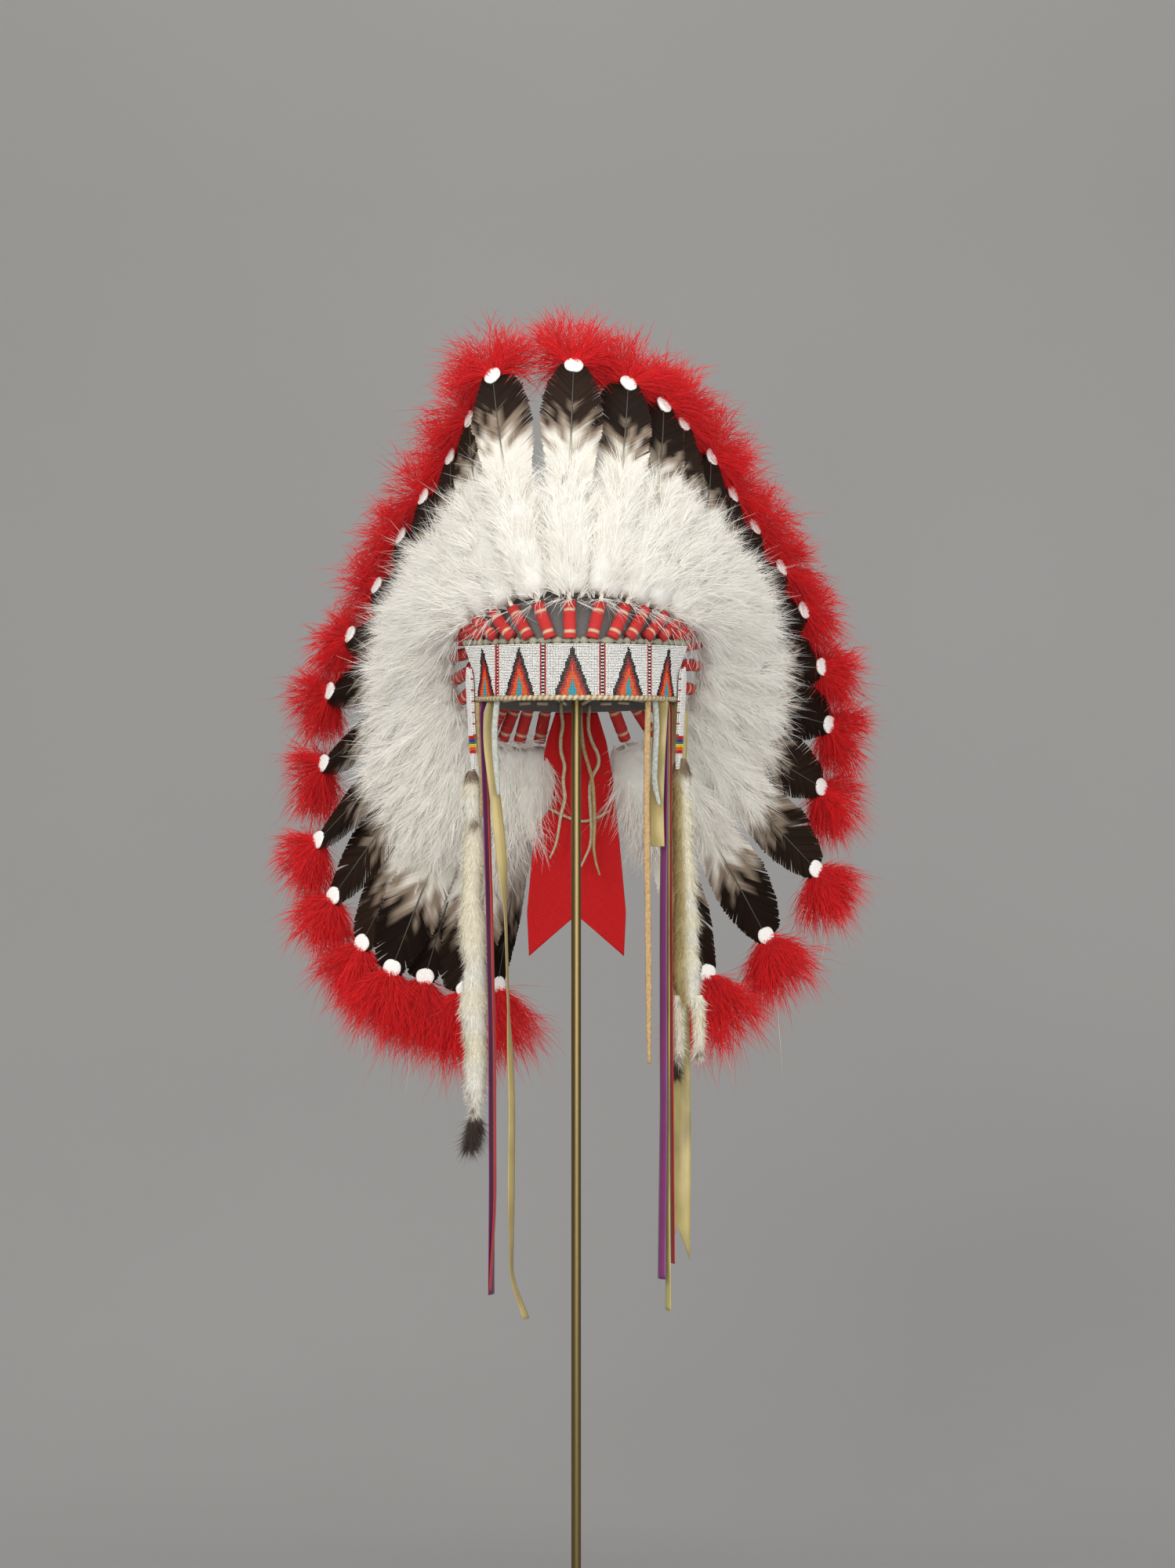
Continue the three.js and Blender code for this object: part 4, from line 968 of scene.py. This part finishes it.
for share, leg_long in ((-0.24, 0.055), (0.5, 0.05)):
    right_skin += skin(
        right_top + (share * SKIN_SHIFT, 0, -0.1928), leg_long,
        [(0, 0.4, 0.7, 0), (0.7, 0.3, 0.5, 0.05), (1, 0.2, 0.3, 0)],
        spotted([(0.95, 0.1)]),
    )
right_skin += skin(
    right_top + (-0.0062, 0, -0.244), 0.014,
    [(0, 0.1, 0.1, 0), (0.5, 0.14, 0.1, 0), (1, 0.03, 0.03, 0)],
    tail_colour, hairs_per_mm=45, hair=1.2,
)
make("right_ermine_skin", right_skin, fur_look, ["ermine_right"])

# The trailer. A swallow-tailed piece of bright red wool cloth, hung in soft folds from the rear rim.
CLOTH_RED = (0.53, 0.012, 0.014)
CLOTH_HALF = 0.042
CLOTH_LONG = 0.207
CLOTH_TOP = 0.7899
NOTCH_DEEP = 0.035
NOTCH_FROM = 0.82


def evened(values, over):
    """The same values, each evened out with its neighbours."""
    return np.convolve(np.pad(values, over // 2, "edge"), np.ones(over) / over, "valid")


s = np.linspace(0, 1, 60)
t = np.linspace(-1, 1, 41)
down = [0, 0.12, 0.3, 0.6, NOTCH_FROM, 1]
wide = np.interp(s, down, [0.42, 0.6, 0.76, 0.9, 1, 0.96])[:, None]
fold = np.interp(s, down, [0, 0.3, 0.8, 1, 0.8, 0.6])[:, None]
lift = np.interp(t, [-1, -0.5, 0, 0.5, 1], [0.2, -0.8, 0.6, -0.6, 0.3])
lift = evened(lift, 9)
x = t[None] * wide * CLOTH_HALF
rim_curve = CAP_DEEP * (1 - np.sqrt(1 - (x / CAP_WIDE) ** 2))
notch = NOTCH_DEEP * (1 - np.abs(t))[None] * np.clip((s[:, None] - NOTCH_FROM) / 0.18, 0, 1)
y = 0.1015 - rim_curve * (1 - np.minimum(1, s[:, None] / 0.3)) - (lift[None] + 0.5) * fold * 0.004
z = CLOTH_TOP - s[:, None] * CLOTH_LONG + notch + 0 * x
points = np.stack([x, y, z], -1)
shape = (points, grid(points), CLOTH_RED)
cloth = make("red_wool_trailer", [shape], wool, ["cloth_trailer"])
thicken(cloth, 0.0016, 0)

# The ribbons. Satin ribbons sewn inside the cap's rim at both temples: gold, red, purple and yellow ones,
# and one wide olive-gold ribbon, stained with age and cut to a swallowtail.
def satin_look(name, tint, vary):
    return look(
        name, 60, 0.0003, stretch=(1, 1, 0.4), colour=tint, vary=vary, Roughness=0.38, Sheen_Weight=0.1,
    )


gold = satin_look("gold_satin_finish", (0.37, 0.285, 0.105), 0.35)
olive = satin_look("olive_satin_finish", (0.4, 0.325, 0.12), 0.45)
yellow = satin_look("yellow_satin_finish", (0.5, 0.44, 0.14), 0.25)
purple = satin_look("purple_satin_finish", (0.15, 0.018, 0.11), 0.2)
scarlet = satin_look("red_satin_finish", (0.45, 0.018, 0.022), 0.2)
ROUTE_SHIFT = 0.02


def ribbon(name, node_name, satin, degrees, width, length, turn, route, fold=10, twist=0.0, notch=0.0):
    """One ribbon. Turn is rows of (share down, degrees of its face), route of (share down, shift right)."""
    p = around(degrees, -0.0015)
    top = np.array([p[0], p[1], BAND_FOOT - rim_drop(p[1]) - 0.0003])
    down, right = np.array(route).T
    s = np.linspace(0, 1, 140)
    ripple = 0.0012 * np.sin(s * 19 + degrees)
    line = top + np.stack([np.interp(s, down, right) * ROUTE_SHIFT, ripple, -s * length], -1)
    line[:, 0] = evened(line[:, 0], 11)
    angle = np.radians(np.interp(s, *np.array(turn).T))
    angle = angle + twist * np.sin(s * 7.5 + degrees) * np.minimum(1, s * 5)
    face = np.stack([np.cos(angle), np.sin(angle), 0 * s], -1)
    through = np.stack([-face[:, 1], face[:, 0], 0 * s], -1)
    gather = np.interp(s, [0, 0.02, 1], [0.35, 1, 1])
    t = np.linspace(-1, 1, 7)
    half = (gather * width / 2)[:, None] * t[None]
    flat = half * math.cos(math.radians(fold))
    bulge = np.abs(half) * math.sin(math.radians(fold))
    points = line[:, None] + face[:, None] * flat[..., None] + through[:, None] * bulge[..., None]
    if notch:
        points[..., 2] += notch * (1 - np.abs(t))[None] * np.clip((s[:, None] - 0.85) / 0.15, 0, 1)
    strip = make(name, [(points, grid(points), 1)], satin, [node_name])
    thicken(strip, 0.0004, 0)


ribbon("left_gold_ribbon", "gold_ribbon_left", gold, -55.5, 0.01, 0.501,
       [(0, 25), (0.26, 30), (0.34, 78), (0.5, 82), (0.57, 62), (0.8, 56), (0.92, 74), (1, 60)],
       [(0, 0), (0.05, -0.15), (0.22, 0.36), (0.34, 0.62), (0.5, 0.74), (0.65, 0.88), (0.8, 0.84),
        (0.95, 0.87), (1, 1.6)], fold=12)
ribbon("left_red_ribbon", "red_ribbon_left", scarlet, -59.8, 0.01, 0.478,
       [(0, 82), (1, 80)],
       [(0, 0), (0.1, 0.05), (0.35, 0.22), (0.6, 0.34), (0.85, 0.36), (1, 0.15)])
ribbon("left_purple_ribbon", "purple_ribbon_left", purple, -64.3, 0.01, 0.482,
       [(0, 50), (0.4, 70), (1, 62)],
       [(0, 0), (0.1, 0.08), (0.3, 0.2), (0.55, 0.32), (0.8, 0.36), (1, 0.34)])
ribbon("right_short_gold_ribbon", "gold_ribbon_right", gold, 55.5, 0.013, 0.119,
       [(0, -28), (1, -28)],
       [(0, 0), (0.35, -0.12), (0.7, -0.2), (1, -0.16)], fold=15)
ribbon("right_purple_ribbon", "purple_ribbon_right", purple, 59.8, 0.01, 0.469,
       [(0, -70), (0.2, -55), (1, -50)],
       [(0, 0), (0.12, -0.06), (0.4, -0.12), (0.7, -0.1), (1, -0.18)], fold=20)
ribbon("right_yellow_ribbon", "yellow_ribbon_right", yellow, 63.4, 0.01, 0.495,
       [(0, -76), (0.6, -76), (1, -66)],
       [(0, 0), (0.15, -0.04), (0.5, -0.02), (0.8, -0.04), (1, 0)])
ribbon("right_red_ribbon", "red_ribbon_right", scarlet, 67.4, 0.01, 0.457,
       [(0, -80), (1, -72)],
       [(0, 0), (0.2, -0.04), (0.6, 0), (1, 0.06)])
ribbon("right_olive_ribbon", "olive_ribbon_right", olive, 82, 0.02, 0.457,
       [(0, -14), (1, -14)],
       [(0, 0), (0.15, -0.1), (0.45, 0), (0.75, 0.1), (1, 0.06)], fold=12, twist=0.15, notch=0.028)

# The studio. A plain pale floor that sweeps up behind the stand into the backdrop, and large soft lights.
profile = [(-5.0, 0.0), (0.45, 0.0)]
profile += [(0.45 + 1.5 * math.sin(a), 1.5 - 1.5 * math.cos(a)) for a in np.linspace(0.05, math.pi / 2, 30)]
profile += [(1.95, 6.0)]
sweep_points = np.array([[(x, y, z) for x in (-6, 6)] for y, z in profile])
backdrop = mesh_object("backdrop", sweep_points.reshape(-1, 3), grid(sweep_points).tolist())
paper = look("backdrop_paper", 1.2, 0.0, colour=(0.268, 0.262, 0.254), vary=0.04, Roughness=0.95)
# The paper is only seen from its front, so that the stand can also be looked at from behind.
tree = paper.node_tree
behind = node(tree, "NewGeometry").outputs["Backfacing"]
clear = node(tree, "BsdfTransparent").outputs[0]
one_sided = node(tree, "MixShader", {0: behind, 1: tree.nodes["Principled BSDF"].outputs[0], 2: clear})
tree.links.new(one_sided.outputs[0], tree.nodes["Material Output"].inputs["Surface"])
backdrop.data.materials.append(paper)


def softbox(name, place, size, power, colour=(1, 1, 1)):
    light = bpy.data.lights.new(name, "AREA")
    light.shape = "SQUARE"
    light.size = size
    light.energy = power
    light.color = colour
    lamp = bpy.data.objects.new(name, light)
    lamp.location = place
    way = np.array((0, 0, 0.85)) - np.array(place)
    lamp.rotation_euler = (math.atan2(math.hypot(way[0], way[1]), -way[2]), 0, math.atan2(-way[0], way[1]))
    scene.collection.objects.link(lamp)


softbox("front", (0.2, -3.9, 1.0), 2.6, 82, (1.0, 0.98, 0.955))
softbox("behind", (0.4, 2.6, 2.0), 2.0, 22)
softbox("key", (-1.5, -2.6, 2.2), 1.8, 62, (1.0, 0.99, 0.97))
softbox("fill", (2.0, -2.8, 1.1), 2.0, 42, (0.97, 0.99, 1.0))
softbox("overhead", (0.0, 0.4, 3.2), 2.4, 34)
world = bpy.data.worlds.new("studio")
world.use_nodes = True
world.node_tree.nodes["Background"].inputs[0].default_value = (0.97, 0.985, 1.0, 1)
world.node_tree.nodes["Background"].inputs[1].default_value = 0.46
scene.world = world
scene.view_settings.view_transform = "Standard"
